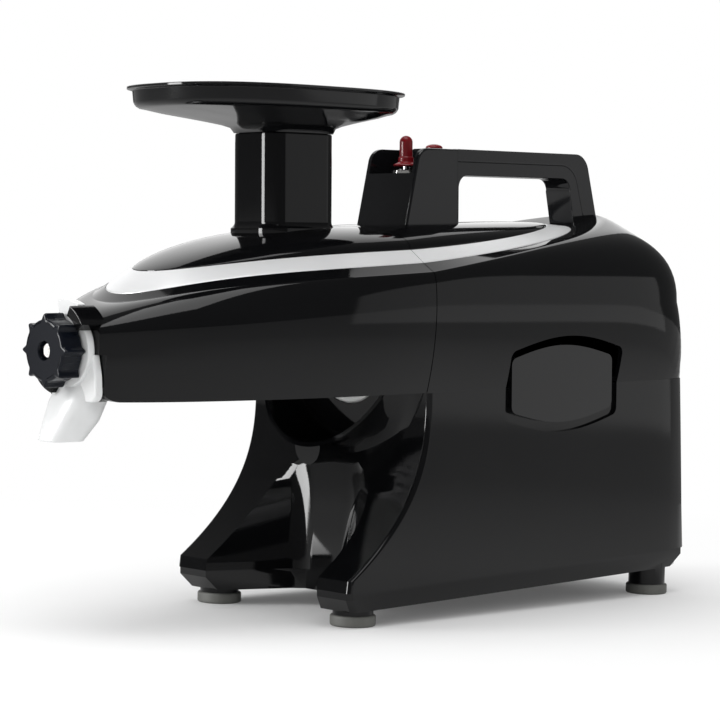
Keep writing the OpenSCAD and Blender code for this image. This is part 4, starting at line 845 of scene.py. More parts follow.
class JUICER_OT_head_shell(PieceOperator):
    """Model the tapered head, its feed chute and the hooks of the outlet"""

    bl_idname = "juicer.head_shell"
    bl_label = "Juicing head"

    def execute(self, context):
        sizes = self.sizes(context)
        parts = head_rows(sizes)
        sides, out_row, in_row, _ = parts
        shell = shell_skin("head_cover", parts, sizes)
        self.flatten_nose(shell)
        settle(shell, "head", "housing_black", ("head_cowl",))
        self.nose_wall(sides)
        self.chute()
        self.hooks()
        strip = trim_piece("head_band", out_row, in_row, sizes.trim_depth)
        settle(strip, "head", "trim_silver", ("head_trim",), smooth=40)
        return {"FINISHED"}

    def flatten_nose(self, shell):
        bisect(shell, (-NOSE_X, 0, KNOB_Z), (-1, 0, 0))
        outline = [(-165, -100), (-165, 100), (-155.3, 100), (-155.3, -100)]
        step = slab("nose_step", outline, 100, 161, axis="Z")
        carve(shell, step)
        carve(shell, self.lower_corner())

    def lower_corner(self):
        """Tool that rounds the lower corner of the nose."""
        bend = arc(-148.3, 142, 7, 270, 180, 14)
        return slab("lower_corner", [(-166, 130), (-148.3, 130)] + bend + [(-166, 142)], -100, 100)

    def nose_outline(self, sides, x, low):
        """Outline of the head across the machine, a little inside its skin."""
        side = []
        for row in sides:
            for p, q in zip(row, row[1:]):
                if (p[0] - x) * (q[0] - x) <= 0 and p[0] != q[0] and p[1] > 0:
                    t = (x - p[0]) / (q[0] - p[0])
                    side.append((mix(p[1], q[1], t) - 1.2, mix(p[2], q[2], t)))
        side = [(y, z) for y, z in side if z > low]
        side = [(side[0][0], low)] + side
        top = side[-1][1] + 0.4
        side[-1] = (side[-1][0], top - 1.6)
        half = side[-1][0] - 3
        return side + [(half, top), (-half, top)] + [(-y, z) for y, z in reversed(side)]

    def nose_wall(self, sides):
        """Flat end of the head, with the bore for the neck of the outlet."""
        for x, low, name in ((-157.8, 161.1, "nose_face"), (-155.1, 135.4, "nose_foot")):
            plate = slab(name, self.nose_outline(sides, x, low), x, x + 3.2, axis="X")
            carve(plate, rod(16.3, -8, 8, (x, 0, KNOB_Z)))
            if low < 140:
                carve(plate, self.lower_corner())
            settle(plate, "head", "housing_black", ("head_cowl",))

    def chute(self):
        rings = [chute_ring(2.6, 222)]
        for k in range(11):
            rings.append(chute_ring(2.4 * (1 - k / 10) ** 2, 231.0 + 0.4 * k))
        lip = [(0, 286.2), (-0.3, 286.8), (-0.8, 287), (-2.6, 287), (-3, 286.6)]
        rings += [chute_ring(*row) for row in lip + [(-3, 205), (-0.5, 205), (0, 215)]]
        chute = grid("feed_chute", rings, ring=True, loop=True)
        settle(chute, "head", "housing_black", ("head_cowl",), smooth=38)

    def hooks(self):
        for name, turn, reach, start in (("hook_upper", 0, 27.4, 206), ("hook_lower", 180, 24.4, 194)):
            outline = arc(0, 0, reach, start + turn, 238 + turn, 24)
            outline += arc(0, 0, 21.4, 238 + turn, start + turn, 24)
            hook = slab(name, [(y, KNOB_Z - x) for x, y in outline], -169, -152.5, axis="X")
            round_edges(hook, 0.8, 3, lambda mid, way: mid.x < -168.9)
            settle(hook, "head", "housing_black", ("head_cowl",))


def rim_ring(inset, z, share=0.0, fit=None, columns=112):
    """Ring of the hopper between its rim and its neck, or of its spigot."""
    ring = []
    for i in range(columns):
        t = math.degrees(math.atan2(58 * sin_d(360 * i / columns), 87 * cos_d(360 * i / columns)))
        if fit is None:
            a, w = mix(87 - inset, 26.8, share), mix(58 - inset, 20.8, share)
            n, cx = mix(RIM_POWER, 5, share), mix(-14.3, CHUTE_X, share)
        else:
            a, w, n, cx = 23.5 - fit, 17.5 - fit, 5, CHUTE_X
        r = (abs(cos_d(t) / a) ** n + abs(sin_d(t) / w) ** n) ** (-1 / n)
        ring.append((cx + r * cos_d(t), r * sin_d(t), z))
    return ring


class JUICER_OT_hopper(PieceOperator):
    """Model the oval feed tray that plugs into the chute"""

    bl_idname = "juicer.hopper"
    bl_label = "Hopper tray"

    def execute(self, context):
        neck, tray, rim = 287.3, 300.0, 312.5
        low = mix(neck, tray, 0.62)
        outside = [
            (10, neck, 1), (10, neck + 3, 0.96), (10, neck + 4.6, 0.86), (10, mix(neck, tray, 0.5), 0.68),
            (10, low, 0.5), (9.6, mix(low, tray - 0.6, 0.55), 0.2), (9, tray - 0.6), (6.6, tray - 0.1),
            (5.2, tray + 0.8), (4.3, tray + 1.9), (3.6, tray + 3.4), (3, rim - 2.9), (2.5, rim - 2.4),
            (0.6, rim - 1.9), (0.1, rim - 1.5), (0, rim - 0.5), (0.4, rim - 0.1), (1.0, rim),
        ]
        inside = [
            (2.6, rim - 0.05), (3.6, rim - 0.4), (4.4, rim - 1.4), (5.2, tray + 8), (6.4, tray + 4.4),
            (8, tray + 2.9), (11, tray + 2.2), (13, low + 2.6, 0.5), (15, neck + 6.4, 0.84),
            (16, neck + 5, 0.94),
        ]
        spigot = [rim_ring(0, z, fit=0.3) for z in (neck - 14, neck - 0.2)]
        throat = [rim_ring(0, z, fit=2.6) for z in (neck, neck - 14)]
        rings = spigot + [rim_ring(*row) for row in outside + inside] + throat
        tray_piece = grid("hopper_tray", rings, ring=True, loop=True)
        settle(tray_piece, "hopper_tray", "hopper_black", ("hopper",), smooth=42)
        return {"FINISHED"}


# ---------- lower housing and base ----------


def leg_front(z):
    if z <= KNEE_Z:
        return mix(-19.3, -18.3, (z - BASE_SEAM) / 7.0)
    return 44 - 62.3 * (1 - (z - KNEE_Z) / (MID_SEAM - KNEE_Z)) ** 2.6


def low_ring(z):
    """Outline of the lower housing at a height: round the rear, then across the legs' front."""
    t = (z - BASE_SEAM) / (MID_SEAM - BASE_SEAM)
    half, rear, x = mix(77.5, 78.2, t), mix(298, 292, t), leg_front(z)
    rays = ray_angles(REACH, WAIST_HALF)[5:-5]
    ring = [body_point(oval(rear - JOINT_X, half, a, 24), a, z) for a in rays]
    ring += [(px, py, z) for px, py in arc(x + 3, half - 3, 3, 90, 180, 6)]
    ring += [(px, py, z) for px, py in arc(x + 3, 3 - half, 3, 180, 270, 6)]
    return ring


def recess_width(z):
    t = max(0.0, (z - KNEE_Z) / (RECESS_CROWN - KNEE_Z))
    return 12 + 38 * max(0.0, 1 - t**2.4) ** 0.6


def fillet(a, corner, b, reach, steps=8):
    """Points of a rounded corner between two straight runs."""
    def toward(end):
        span = math.dist(corner, end)
        share = min(reach, span * 0.48) / span
        return tuple(mix(corner[i], end[i], share) for i in range(2))

    start, stop = toward(a), toward(b)
    points = []
    for i in range(steps + 1):
        t = i / steps
        points.append(tuple(
            (1 - t) ** 2 * start[k] + 2 * t * (1 - t) * corner[k] + t * t * stop[k] for k in range(2)
        ))
    return points


def recess_section(z):
    t = (z - RECESS_FOOT) / (RECESS_CROWN - RECESS_FOOT)
    back = mix(33, 39, t)
    x = min(leg_front(max(z, BASE_SEAM)), back - 3)
    w = recess_width(z)
    back_w = min(mix(20, 24, t), w - 2)
    near = fillet((x, -w), (back, -back_w), (back, back_w), 9.0)
    ring = [(-80, w), (-80, -w), (x, -w)] + near + [(px, -py) for px, py in reversed(near)] + [(x, w)]
    return [(px, py, z) for px, py in ring]


def cover_heights():
    """Heights of the rows of the lower cover, which its recess shares."""
    curve = [mix(KNEE_Z, MID_SEAM, (i / 40) ** 1.15) for i in range(1, 41)]
    return [BASE_SEAM, 24.0, 26.5, KNEE_Z] + curve


def recess_tool(start):
    heights = [start] + [z for z in cover_heights() if z < RECESS_TOP - 0.49] + [RECESS_TOP]
    return closed("recess_tool", [recess_section(z) for z in heights])


class JUICER_OT_lower_housing(PieceOperator):
    """Model the lower housing with its curved legs, arched recess and drive collar"""

    bl_idname = "juicer.lower_housing"
    bl_label = "Lower housing"

    def execute(self, context):
        body = closed("lower_cover", [low_ring(z) for z in cover_heights()])
        carve(body, self.collar(), "UNION")
        carve(body, recess_tool(BASE_SEAM - 1))
        drip = [(11, 101)] + arc(0, DRIVE_Z - COLLAR_RADIUS, 11, 0, -180, 24) + [(-11, 101)]
        carve(body, slab("tongue", drip, 18.5, 41, axis="X"), "UNION")
        carve(body, rod(BORE_RADIUS, -12, 62, (0, 0, DRIVE_Z), steps=128))
        bay = slab("bay", [(58, -72.2), (285.6, -72.2), (285.6, 72.2), (58, 72.2)], 10, 160, axis="Z")
        carve(body, bay)
        carve(body, badge_tool())
        lo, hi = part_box("mains_inlet")
        middle = STAND.inverted() @ ((lo + hi) / 2)
        half_y, half_z = ((hi[i] - lo[i]) * 500 * INLET_SHARE for i in (1, 2))
        sides = ((-1, -1), (1, -1), (1, 1), (-1, 1))
        opening = [(middle.y + y * half_y, middle.z + z * half_z) for y, z in sides]
        carve(body, slab("inlet_opening", opening, 280, 312, axis="X"))
        weld(body, SPLINTER)
        settle(body, "machine", "housing_black", ("lower_housing",), smooth=24)
        return {"FINISHED"}

    def collar(self):
        profile = [(0, 10), (COLLAR_RADIUS, 10)] + arc(76.5, 26, 17, 180, 90, 12) + [(78, 47), (0, 47)]
        flare = turned("flare", profile, (0, 0, DRIVE_Z), (1, 0, 0), 144)
        lean = math.tan(math.radians(23.6))
        front = [(JOINT_X - lean * (DRIVE_Z - z), z) for z in (80, MID_SEAM)]
        keep = slab("keep", front + [(47, MID_SEAM), (47, 80)], -100, 100)
        carve(flare, keep, "INTERSECT")
        return flare


class JUICER_OT_base(PieceOperator):
    """Model the base tray, its feet and its screws"""

    bl_idname = "juicer.base"
    bl_label = "Base and feet"

    def execute(self, context):
        dressed_copy("base_tray", "base_plate", "machine", "housing_black", bevel=0.0006, angle=30,
                     flat=0.5)
        lo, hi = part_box("rubber_feet")
        radius = 0.0135
        profile = [(0, 0), (12.3, 0), (12.9, 0.15), (13.35, 0.6), (13.5, 1.2), (13.5, 5.4), (13.3, 6.0),
                   (12.7, 6.45), (11.8, 6.5), (0, 6.5)]
        ends = ((lo.x + radius, "front"), (hi.x - radius, "rear"))
        for x, end in ends:
            for y, side in ((lo.y + radius, "near"), (hi.y - radius, "far")):
                pad = turned(f"foot_{end}_{side}", profile, (0, 0, 0), (0, 0, 1), 72)
                pad.data.transform(Matrix.Translation((x, y, 0)) @ Matrix.Scale(0.001, 4))
                settle(pad, "machine", "foot_rubber", ("rubber_feet",), smooth=40, placed=False)
        dressed_copy("base_fixings", "base_screws", "machine", "screw_steel", bevel=0.0002)
        return {"FINISHED"}


# ---------- outlet and knob ----------

# stations of the spout: x, z, half width, half height and lean in degrees
SPOUT = (
    (-146, 150, 15, 12, 10),
    (-151, 140, 16, 12, 22),
    (-157, 129, 16, 12, 32),
    (-164.5, 118, 12.5, 10.5, 36),
    (-171, 109, 9, 8.5, 38),
)


def spout_section(place, shrink, points=48):
    """Section of the spout at a place from 0, its root, to 4, beyond its lip."""
    i = min(int(place), 3)
    t = place - i
    x, z, w, h, lean = (mix(a, b, t) for a, b in zip(SPOUT[i], SPOUT[i + 1]))
    lean = 90 - lean
    ring = []
    for k in range(points):
        turn = 360 * k / points
        c, s = cos_d(turn), sin_d(turn)
        c, s = math.copysign(abs(c) ** 0.7, c), math.copysign(abs(s) ** 0.7, s)
        rise = (h - shrink) * s
        ring.append((x - rise * sin_d(lean), (w - shrink) * c, z + rise * cos_d(lean)))
    return ring


class JUICER_OT_outlet(PieceOperator):
    """Model the outlet casing and its spout"""

    bl_idname = "juicer.outlet"
    bl_label = "Outlet"

    def execute(self, context):
        face, back = -163.0, -158.3
        rim = [(20.0, face), (20.7, face + 0.3), (21, face + 1), (21, back - 0.6), (20.6, back), (16, back)]
        neck = [(16, -149), (14, -149), (14, face + 3), (4.1, face + 3), (4.1, face)]
        profile = [(4.1, face)] + rim + neck
        disc = turned("outlet_disc", profile, (0, 0, KNOB_Z), (1, 0, 0), 128)
        settle(disc, "outlet", "outlet_white", ("outlet_casing",))
        sector = arc(0, 0, 28, 166, 205, 16) + arc(0, 0, 18, 205, 166, 16)
        ear = slab("outlet_ear", [(y, KNOB_Z - x) for x, y in sector], face, back, axis="X")
        round_edges(ear, 0.7, 3, lambda mid, way: mid.x < face + 0.1 or abs(way.x) > 0.9)
        settle(ear, "outlet", "outlet_white", ("outlet_casing",))
        outline = [(-21.5, 160.9), (-24, 150)] + arc(-19, 140.4, 5.5, 180, 270, 8)
        outline += [(2, 134.9), (2, 160.9)]
        skirt = slab("outlet_skirt", outline, -160.5, -156, axis="X")
        round_edges(skirt, 1.2, 4, lambda mid, way: mid.x < -160.4 and mid.y < 1.9 and mid.z < 160.8)
        settle(skirt, "outlet", "outlet_white", ("outlet_casing",))
        places = [i / 5 for i in range(20, -1, -1)]
        spout, bore = (
            closed(name, [spout_section(place, shrink) for place in places])
            for name, shrink in (("juice_spout", 0), ("bore", 2.2))
        )
        bisect(bore, (0, 0, 148), (0, 0, 1))
        carve(spout, bore)
        room = slab("room", [(-155.9, -100), (-155.9, 100), (-60, 100), (-60, -100)], 134.7, 200, axis="Z")
        carve(spout, room)
        bisect(spout, (0, 0, 113), (0, 0, -1))
        settle(spout, "outlet", "outlet_white", ("outlet_casing",), smooth=40)
        return {"FINISHED"}


def knob_ring(radius, depth, place, steps=240):
    """Ring of the knob: a round core with eight narrow lobes."""
    ring = []
    for i in range(steps):
        t = 360 * i / steps
        off = (t + 22.5) % 45 - 22.5
        r = radius - depth * (1 - math.exp(-((off / 5.2) ** 2)))
        ring.append((KNOB_FACE_X + place, r * sin_d(t), KNOB_Z - r * cos_d(t)))
    return ring


class JUICER_OT_knob(PieceOperator):
    """Model the lobed pressure knob and its screw"""

    bl_idname = "juicer.knob"
    bl_label = "Knob"

    def execute(self, context):
        d = self.sizes(context).lobe_depth
        front = [(4.0, 0, 4.5), (5.25, 0, 4.5), (5.25, 0, 0.4), (5.6, 0, 0), (15.6, 0, 0), (18.3, d, 0),
                 (18.9, d, 0)]
        edge = [(19.7, d, 0.2), (20.2, d, 0.7), (20.5, d, 1.5), (20.5, d, 12.8), (20.2, d, 13.3)]
        back = [(19.6, d, 13.5), (15.9, 0, 13.5), (15.9, 0, 9.5), (8, 0, 9.5), (8, 0, 13.5), (4, 0, 13.5)]
        rings = [knob_ring(*row) for row in front + edge + back]
        knob = grid("pressure_knob", rings, ring=True, loop=True)
        face_out(knob)
        settle(knob, "knob_group", "knob_slate", ("knob",), smooth=35)
        dressed_copy("knob_fixing", "knob_screw", "knob_group", "screw_steel", bevel=0.0002)
        return {"FINISHED"}


# ---------- handle and switches ----------


def leg_in(z):
    return 243 + (265.8 - z) * 0.189


def leg_out(z):
    return 263 + (270.8 - z) * 0.27


class JUICER_OT_handle(PieceOperator):
    """Model the switch tower and the two halves of the carrying handle"""

    bl_idname = "juicer.handle"
    bl_label = "Handle"

    def execute(self, context):
        grip = self.sizes(context).grip_round
        self.tower(grip)
        parting = arc(236, 258.1, 16, 90, 12, 18)
        outer = [(TOWER_REAR_X, PARTING_Z), (TOWER_REAR_X, 282.3)] + arc(250, 269.3, 13, 90, 12, 18)
        rear = leg_out(LEG_FOOT_Z)
        outer += [(rear, LEG_FOOT_Z), (rear - 13, LEG_FOOT_Z)] + list(reversed(parting))
        half = slab("handle_upper", outer, -GRIP_HALF, GRIP_HALF)
        round_edges(half, grip, 5, lambda mid, way: self.on_face(mid, GRIP_HALF) and self.on_outside(mid))
        round_edges(half, 1.2, 2, lambda mid, way: self.on_face(mid, GRIP_HALF) and self.on_parting(mid))
        settle(half, "machine", "handle_black", ("handle_outer",))
        bend_z = 257.8
        inner = [(TOWER_REAR_X, PARTING_Z)] + parting
        inner += [(rear - 13, LEG_FOOT_Z), (leg_in(LEG_FOOT_Z), LEG_FOOT_Z), (leg_in(bend_z), bend_z)]
        inner += arc(leg_in(bend_z) - 8, bend_z, 8, 0, 90, 12) + arc(146, bend_z, 8, 90, 180, 12)
        inner += [(138, TOWER_FOOT_Z), (TOWER_REAR_X, TOWER_FOOT_Z)]
        low = slab("handle_lower", inner, -10.8, 10.8)
        round_edges(low, 1.8, 4, lambda mid, way: self.on_face(mid, 10.8) and self.on_window(mid))
        settle(low, "machine", "handle_black", ("handle_inner",))
        return {"FINISHED"}

    def on_face(self, mid, half):
        """True on either flat side of a piece of this half width."""
        return abs(abs(mid.y) - half) < 0.01

    def on_outside(self, mid):
        if mid.x < 134.3 or mid.z < 231:
            return False
        outside_bend = mid.x > 249 and (Vector((mid.x, mid.z)) - Vector((250, 269.3))).length > 12.5
        return mid.z > 282.0 or (outside_bend and mid.x > leg_out(mid.z) - 4)

    def on_parting(self, mid):
        """True along the line where the two halves of the handle meet."""
        if mid.x < 236:
            return abs(mid.z - PARTING_Z) < 0.1
        if mid.z > 261.4:
            return abs(math.dist((mid.x, mid.z), (236, 258.1)) - 16) < 0.3
        return abs(mid.x - 251.65 - (261.4 - mid.z) * 0.298) < 0.4

    def on_window(self, mid):
        if mid.z < 231 or mid.x < 134.5:
            return False
        if abs(mid.x - 138) < 0.2:
            return True
        in_middle = 138 < mid.x < 251 and mid.z < 266.2
        return in_middle and not mid.x > leg_in(mid.z) + 1.5

    def tower(self, grip):
        outline = [(77.8, TOWER_FOOT_Z), (78.4, 229)] + arc(98.8, 271.6, 10, 168, 90, 16)
        outline += [(125.5, 281.6), (125.5, TOWER_FOOT_Z)]
        tower = slab("switch_tower_shell", outline, -TOWER_HALF, TOWER_HALF)
        low, high = TOWER_FOOT_Z, 282.3
        block = [(116.5, low), (TOWER_REAR_X, low), (TOWER_REAR_X, high), (116.5, high)]
        core = slab("core", block, -GRIP_HALF, GRIP_HALF)
        round_edges(core, grip, 5, lambda mid, way: mid.z > 282 and self.on_face(mid, GRIP_HALF))
        round_edges(tower, 1.4, 3, lambda mid, way: self.on_face(mid, TOWER_HALF) and mid.z > 223)
        carve(tower, core, "UNION")
        room = slab("room", [(72.8, PANEL_Z), (112, PANEL_Z), (112, 306), (72.8, 306)], -18.8, 18.8)
        carve(tower, room)
        carve(tower, rod(6.1, -10, 10, (TOGGLE_X, 0, PANEL_Z), UP))
        carve(tower, rod(5.9, 277.3, 300, (BUTTON_X, 0, 0), UP))
        settle(tower, "machine", "handle_black", ("switch_tower",))


class JUICER_OT_switches(PieceOperator):
    """Model the booted toggle switch and the push button"""

    bl_idname = "juicer.switches"
    bl_label = "Switches"

    def execute(self, context):
        z = 270.6
        profile = [(2.2, 0), (6.6, 0), (7.6, 0.25), (7.9, 0.7), (7.6, 1.3), (6.4, 1.9), (5.2, 2.4)]
        profile += [(4.85, 3.0), (4.75, 5.4), (4.6, 5.7), (4.2, 6.0), (4.1, 6.4)]
        profile += arc(0, 15.1, 4.1, 0, 90, 14) + [(0, 12), (2.2, 12), (2.2, 0)]
        boot = turned("toggle_boot_rubber", profile, (TOGGLE_X, 0, z), UP, 64)
        settle(boot, "toggle", "boot_red", ("toggle_boot",), smooth=45)
        hexagon = [(TOGGLE_X + 8.5 * cos_d(60 * i), 8.5 * sin_d(60 * i)) for i in range(6)]
        nut = slab("bushing_nut", hexagon, PANEL_Z, PANEL_Z + 2.2, axis="Z")
        round_edges(nut, 0.45, 2, lambda mid, way: mid.z > 268.1 or abs(way.z) > 0.9)
        carve(nut, rod(6.05, -2, 4, (TOGGLE_X, 0, PANEL_Z), UP, 48))
        settle(nut, "machine", "screw_steel", ("toggle_nut",))
        rise_z = 283.1 - BUTTON_Z
        profile = [(0, 0), (5.4, 0), (5.4, rise_z)]
        profile += [(5.4 * cos_d(a), rise_z + 2.2 * sin_d(a)) for a in range(10, 91, 8)]
        profile += [(0, rise_z + 2.2)]
        button = turned("button_cap", profile, (BUTTON_X, 0, BUTTON_Z), UP, 64)
        carve(button, rod(2.5, 263.3, 280.2, (BUTTON_X, 0, 0), UP, 32), "UNION")
        settle(button, "button", "boot_red", ("push_button",), smooth=45)
        return {"FINISHED"}


class JUICER_OT_bearing_cover(PieceOperator):
    """Model the cover inside the drive collar, with its pale hub"""

    bl_idname = "juicer.bearing_cover"
    bl_label = "Bearing cover"

    def execute(self, context):
        centre, axis = (52, 0, DRIVE_Z), (1, 0, 0)
        edge = [(52.5, 0.2), (53.2, -1.2), (54.2, -1.6), (56.85, -1.6), (56.85, 3)]
        profile = [(34.7, 0.2)] + edge + [(34.7, 3), (34.7, 0.2)]
        flange = turned("cover_flange", profile, centre, axis, 128)
        settle(flange, "machine", "housing_black", ("bearing_cap",))
        profile = [(0, 0), (32.6, 0), (33.8, 0.4), (34.5, 1.4), (34.5, 12), (0, 12)]
        hub = turned("cover_hub", profile, centre, axis, 128)
        for side in (-1, 1):
            carve(hub, rod(10.5, -5, 20, (52, side * 18, DRIVE_Z), steps=48))
        settle(hub, "machine", "cap_white", ("bearing_cap",))
        return {"FINISHED"}


class JUICER_OT_badge(PieceOperator):
    """Model the bare raised plate in the side recess"""

    bl_idname = "juicer.badge"
    bl_label = "Side plate"

    def execute(self, context):
        plate = slab("side_plate", badge_outline(6), PLATE_FLOOR_Y, -77.4)
        round_edges(plate, 5, 6, lambda mid, way: abs(way.y) > 0.9 and abs(mid.x - PLATE_X) > 46.9)
        round_edges(plate, 0.8, 4, lambda mid, way: mid.y < -77.3 and abs(way.y) < 0.1)
        settle(plate, "machine", "badge_black", ("badge_plate",), smooth=40)
        return {"FINISHED"}


class JUICER_OT_inner_parts(PieceOperator):
    """Give every remaining node of the frame its finish"""

    bl_idname = "juicer.inner_parts"
    bl_label = "Drive train and inner parts"

    def execute(self, context):
        for name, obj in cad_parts.items():
            material = finish_of(SLOTS[name])
            if obj.material_slots:
                for material_slot in obj.material_slots:
                    material_slot.material = material
            else:
                obj.data.materials.append(material)
        return {"FINISHED"}


# nodes of each slot of the record
NODES = {
    "housing_black": "base_plate lower_housing upper_housing head_cowl",
    "foot_rubber": "rubber_feet",
    "screw_steel": "base_screws toggle_nut knob_screw",
    "trim_silver": "body_trim head_trim",
    "badge_black": "badge_plate",
    "cap_white": "bearing_cap",
    "handle_black": "switch_tower handle_outer handle_inner",
    "switch_body": "toggle_switch mains_inlet cooling_fan outlet_plug",
    "shaft_steel": "toggle_lever motor_shaft motor_bearings motor_pinion "
                   "intermediate_pin output_wheel drive_shaft idler_stub",
    "boot_red": "toggle_boot push_button",
    "cast_alloy": "motor_bracket gearbox_frame",
    "stator_steel": "stator rotor",
    "copper_winding": "winding",
    "capacitor_can": "run_capacitor",
    "gear_white": "intermediate_gear",
    "bush_brass": "shaft_bushes",
    "chamber_white": "gear_chamber",
    "press_steel": "juice_screen drive_gear driven_gear",
    "hopper_black": "hopper",
    "outlet_white": "outlet_casing",
    "knob_slate": "knob",
}
SLOTS = {node: slot for slot, nodes in NODES.items() for node in nodes.split()}


# ---------- stage ----------

# the camera in the machine's frame, angles in degrees
CAMERA_YAW, CAMERA_PITCH, CAMERA_ROLL = 43.80, 2.96, 0.374
CAMERA_PLACE = (-939.67, -1043.30, 225.18)
CAMERA_LENS, SENSOR_WIDTH = 117.33, 36
CAMERA_SHIFT = (0.0023, 0.0002)
AIM = (0, 0, 0.2)


def studio_floor(tone):
    """Pale floor that keeps the shadow near the object and is plain white farther off; polished surfaces
    see painted shade in it, darker farther off.
    """
    f = Finish("studio_floor")
    paper = f.noise(30.0, 3.0, 0.5)
    base = f.blend(paper, (tone * 0.985,) * 3, (tone, tone, tone))
    glow = f.node("ShaderNodeEmission", None, {"Color": (1, 1, 1), "Strength": 1.0})
    path = f.node("ShaderNodeLightPath").socket.node
    camera, glossy, through = (
        Signal(f, path.outputs[f"Is {ray} Ray"]) for ray in ("Camera", "Glossy", "Transmission")
    )
    away = f.node("ShaderNodeVectorMath", {"operation": "LENGTH"}, {0: f.place()}, output=1)
    # painted shade in reflections: glossy rays see the floor blended towards dark grey farther off
    base = f.blend(glossy * f.ramp(away, 0.3, 1.0) * 0.6, base, (0.1, 0.1, 0.1))
    diffuse = f.node("ShaderNodeBsdfDiffuse", None, {"Color": base})
    share = (0.08 + f.ramp(away, 0.18, 0.75) * 0.92) * (camera + glossy * 0.2 + through)
    both = f.node("ShaderNodeMixShader", None, {0: share, 1: diffuse, 2: glow})
    out = f.tree.nodes.new("ShaderNodeOutputMaterial")
    f.tree.links.new(both.socket, out.inputs[0])
    return f.material


def studio_world(strength, mirrored):
    """Even light; the camera sees white and polished surfaces see a dimmer room."""
    world = bpy.data.worlds.new("studio")
    bpy.context.scene.world = world
    world.use_nodes = True
    tree = world.node_tree
    tree.nodes.clear()
    path = tree.nodes.new("ShaderNodeLightPath")
    shader = None
    for ray, level in ((None, strength), ("Is Glossy Ray", mirrored), ("Is Camera Ray", 1.0)):
        room = tree.nodes.new("ShaderNodeBackground")
        room.inputs["Color"].default_value = (1, 1, 1, 1)
        room.inputs["Strength"].default_value = level
        if ray:
            pick = tree.nodes.new("ShaderNodeMixShader")
            tree.links.new(path.outputs[ray], pick.inputs[0])
            tree.links.new(shader, pick.inputs[1])
            tree.links.new(room.outputs[0], pick.inputs[2])
            shader = pick.outputs[0]
        else:
            shader = room.outputs[0]
    out = tree.nodes.new("ShaderNodeOutputWorld")
    tree.links.new(shader, out.inputs[0])


def soft_lamp(name, place, aim, width, height, power, lights=True, mirrored=True):
    """Area lamp that may light the object, show in its polish, or both."""
    data = bpy.data.lights.new(name, "AREA")
    data.shape = "RECTANGLE"
    data.size = width
    data.size_y = height
    data.energy = power
    lamp = bpy.data.objects.new(name, data)
    bpy.context.scene.collection.objects.link(lamp)
    lamp.visible_diffuse, lamp.visible_glossy = lights, mirrored
    lamp.location = place
    lamp.rotation_euler = (Vector(aim) - Vector(place)).to_track_quat("-Z", "Y").to_euler()


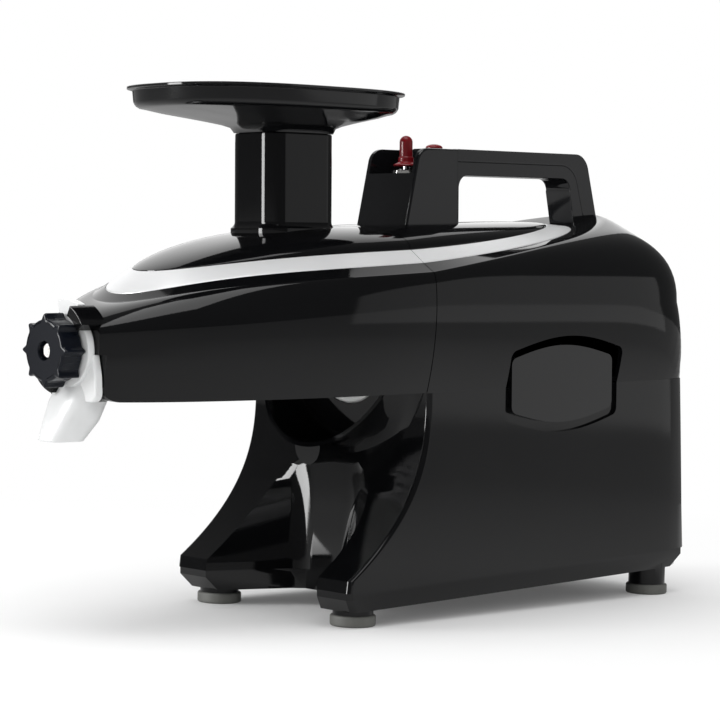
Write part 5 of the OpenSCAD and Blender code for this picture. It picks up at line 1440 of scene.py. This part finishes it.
class JUICER_OT_stage(PieceOperator):
    """Set the floor, the light and the camera"""

    bl_idname = "juicer.stage"
    bl_label = "Studio"

    def execute(self, context):
        studio = context.scene.juicer_studio
        bpy.ops.object.select_all(action="DESELECT")
        bpy.ops.mesh.primitive_plane_add(size=40, location=(0, 0, 0))
        floor = context.active_object
        floor.name = "studio_floor"
        floor.data.materials.append(studio_floor(studio.floor_tone))
        studio_world(studio.room_light, studio.mirrored_room)
        soft_lamp("top_soft", (-0.25, -0.1, 1.7), (0, 0, 0.15), 1.3, 0.9, studio.key_power)
        soft_lamp("left_soft", (-1.56, 0.80, 0.70), AIM, 0.6, 1.2, studio.side_power, mirrored=False)
        soft_lamp("left_strip", (-1.438, 0.70, 0.62), AIM, 0.58, 1.2, studio.strip_power, lights=False)
        soft_lamp("front_soft", (1.11, -1.15, 0.27), AIM, 1.1, 0.5, studio.front_power, lights=False)
        soft_lamp("back_soft", (1.0, 1.3, 1.25), AIM, 1.7, 2.0, studio.back_power, lights=False)
        self.camera(context)
        context.scene.view_settings.view_transform = "Standard"
        return {"FINISHED"}

    def camera(self, context):
        yaw, pitch, roll = (math.radians(turn) for turn in (CAMERA_YAW, CAMERA_PITCH, CAMERA_ROLL))
        ahead = Vector((math.sin(yaw) * math.cos(pitch), math.cos(yaw) * math.cos(pitch), -math.sin(pitch)))
        right = Vector((math.cos(yaw), -math.sin(yaw), 0))
        up = right.cross(ahead)
        tilted = right * math.cos(roll) + up * math.sin(roll)
        up = up * math.cos(roll) - right * math.sin(roll)
        turn = Matrix((tilted, up, -ahead)).transposed().to_4x4()
        data = bpy.data.cameras.new("studio_camera")
        data.sensor_width = SENSOR_WIDTH
        data.sensor_fit = "HORIZONTAL"
        data.lens = CAMERA_LENS
        data.shift_x, data.shift_y = CAMERA_SHIFT
        data.clip_start, data.clip_end = 0.05, 100
        camera = bpy.data.objects.new("studio_camera", data)
        context.scene.collection.objects.link(camera)
        place = STAND @ Vector(CAMERA_PLACE)
        camera.matrix_world = Matrix.Translation(place) @ Matrix.Rotation(-TIP, 4, "Y") @ turn
        context.scene.camera = camera


# ---------- panel and registration ----------

STEPS = (
    "lower_housing", "base", "body_shell", "head_shell", "hopper", "outlet", "knob", "handle",
    "switches", "bearing_cover", "badge", "inner_parts", "stage",
)


class JUICER_PT_panel(bpy.types.Panel):
    """List of the juicer's pieces"""

    bl_idname = "JUICER_PT_panel"
    bl_label = "Juicer"
    bl_space_type = "VIEW_3D"
    bl_region_type = "UI"
    bl_category = "Juicer"

    def draw(self, context):
        for group in ("juicer_sizes", "juicer_finish", "juicer_studio"):
            settings = getattr(context.scene, group)
            box = self.layout.box()
            for key in settings.__annotations__:
                box.prop(settings, key)
        for step in STEPS:
            self.layout.operator(f"juicer.{step}")


CLASSES = (
    JuicerSizes, JuicerFinish, JuicerStudio,
    JUICER_OT_lower_housing, JUICER_OT_base, JUICER_OT_body_shell, JUICER_OT_head_shell,
    JUICER_OT_hopper, JUICER_OT_outlet, JUICER_OT_knob, JUICER_OT_handle, JUICER_OT_switches,
    JUICER_OT_bearing_cover, JUICER_OT_badge, JUICER_OT_inner_parts, JUICER_OT_stage, JUICER_PT_panel,
)


def register():
    for item in CLASSES:
        bpy.utils.register_class(item)
    bpy.types.Scene.juicer_sizes = bpy.props.PointerProperty(type=JuicerSizes)
    bpy.types.Scene.juicer_finish = bpy.props.PointerProperty(type=JuicerFinish)
    bpy.types.Scene.juicer_studio = bpy.props.PointerProperty(type=JuicerStudio)


def unregister():
    del bpy.types.Scene.juicer_studio
    del bpy.types.Scene.juicer_finish
    del bpy.types.Scene.juicer_sizes
    for item in reversed(CLASSES):
        bpy.utils.unregister_class(item)


def main():
    register()
    for step in STEPS:
        getattr(bpy.ops.juicer, step)()


if __name__ == "__main__":
    main()
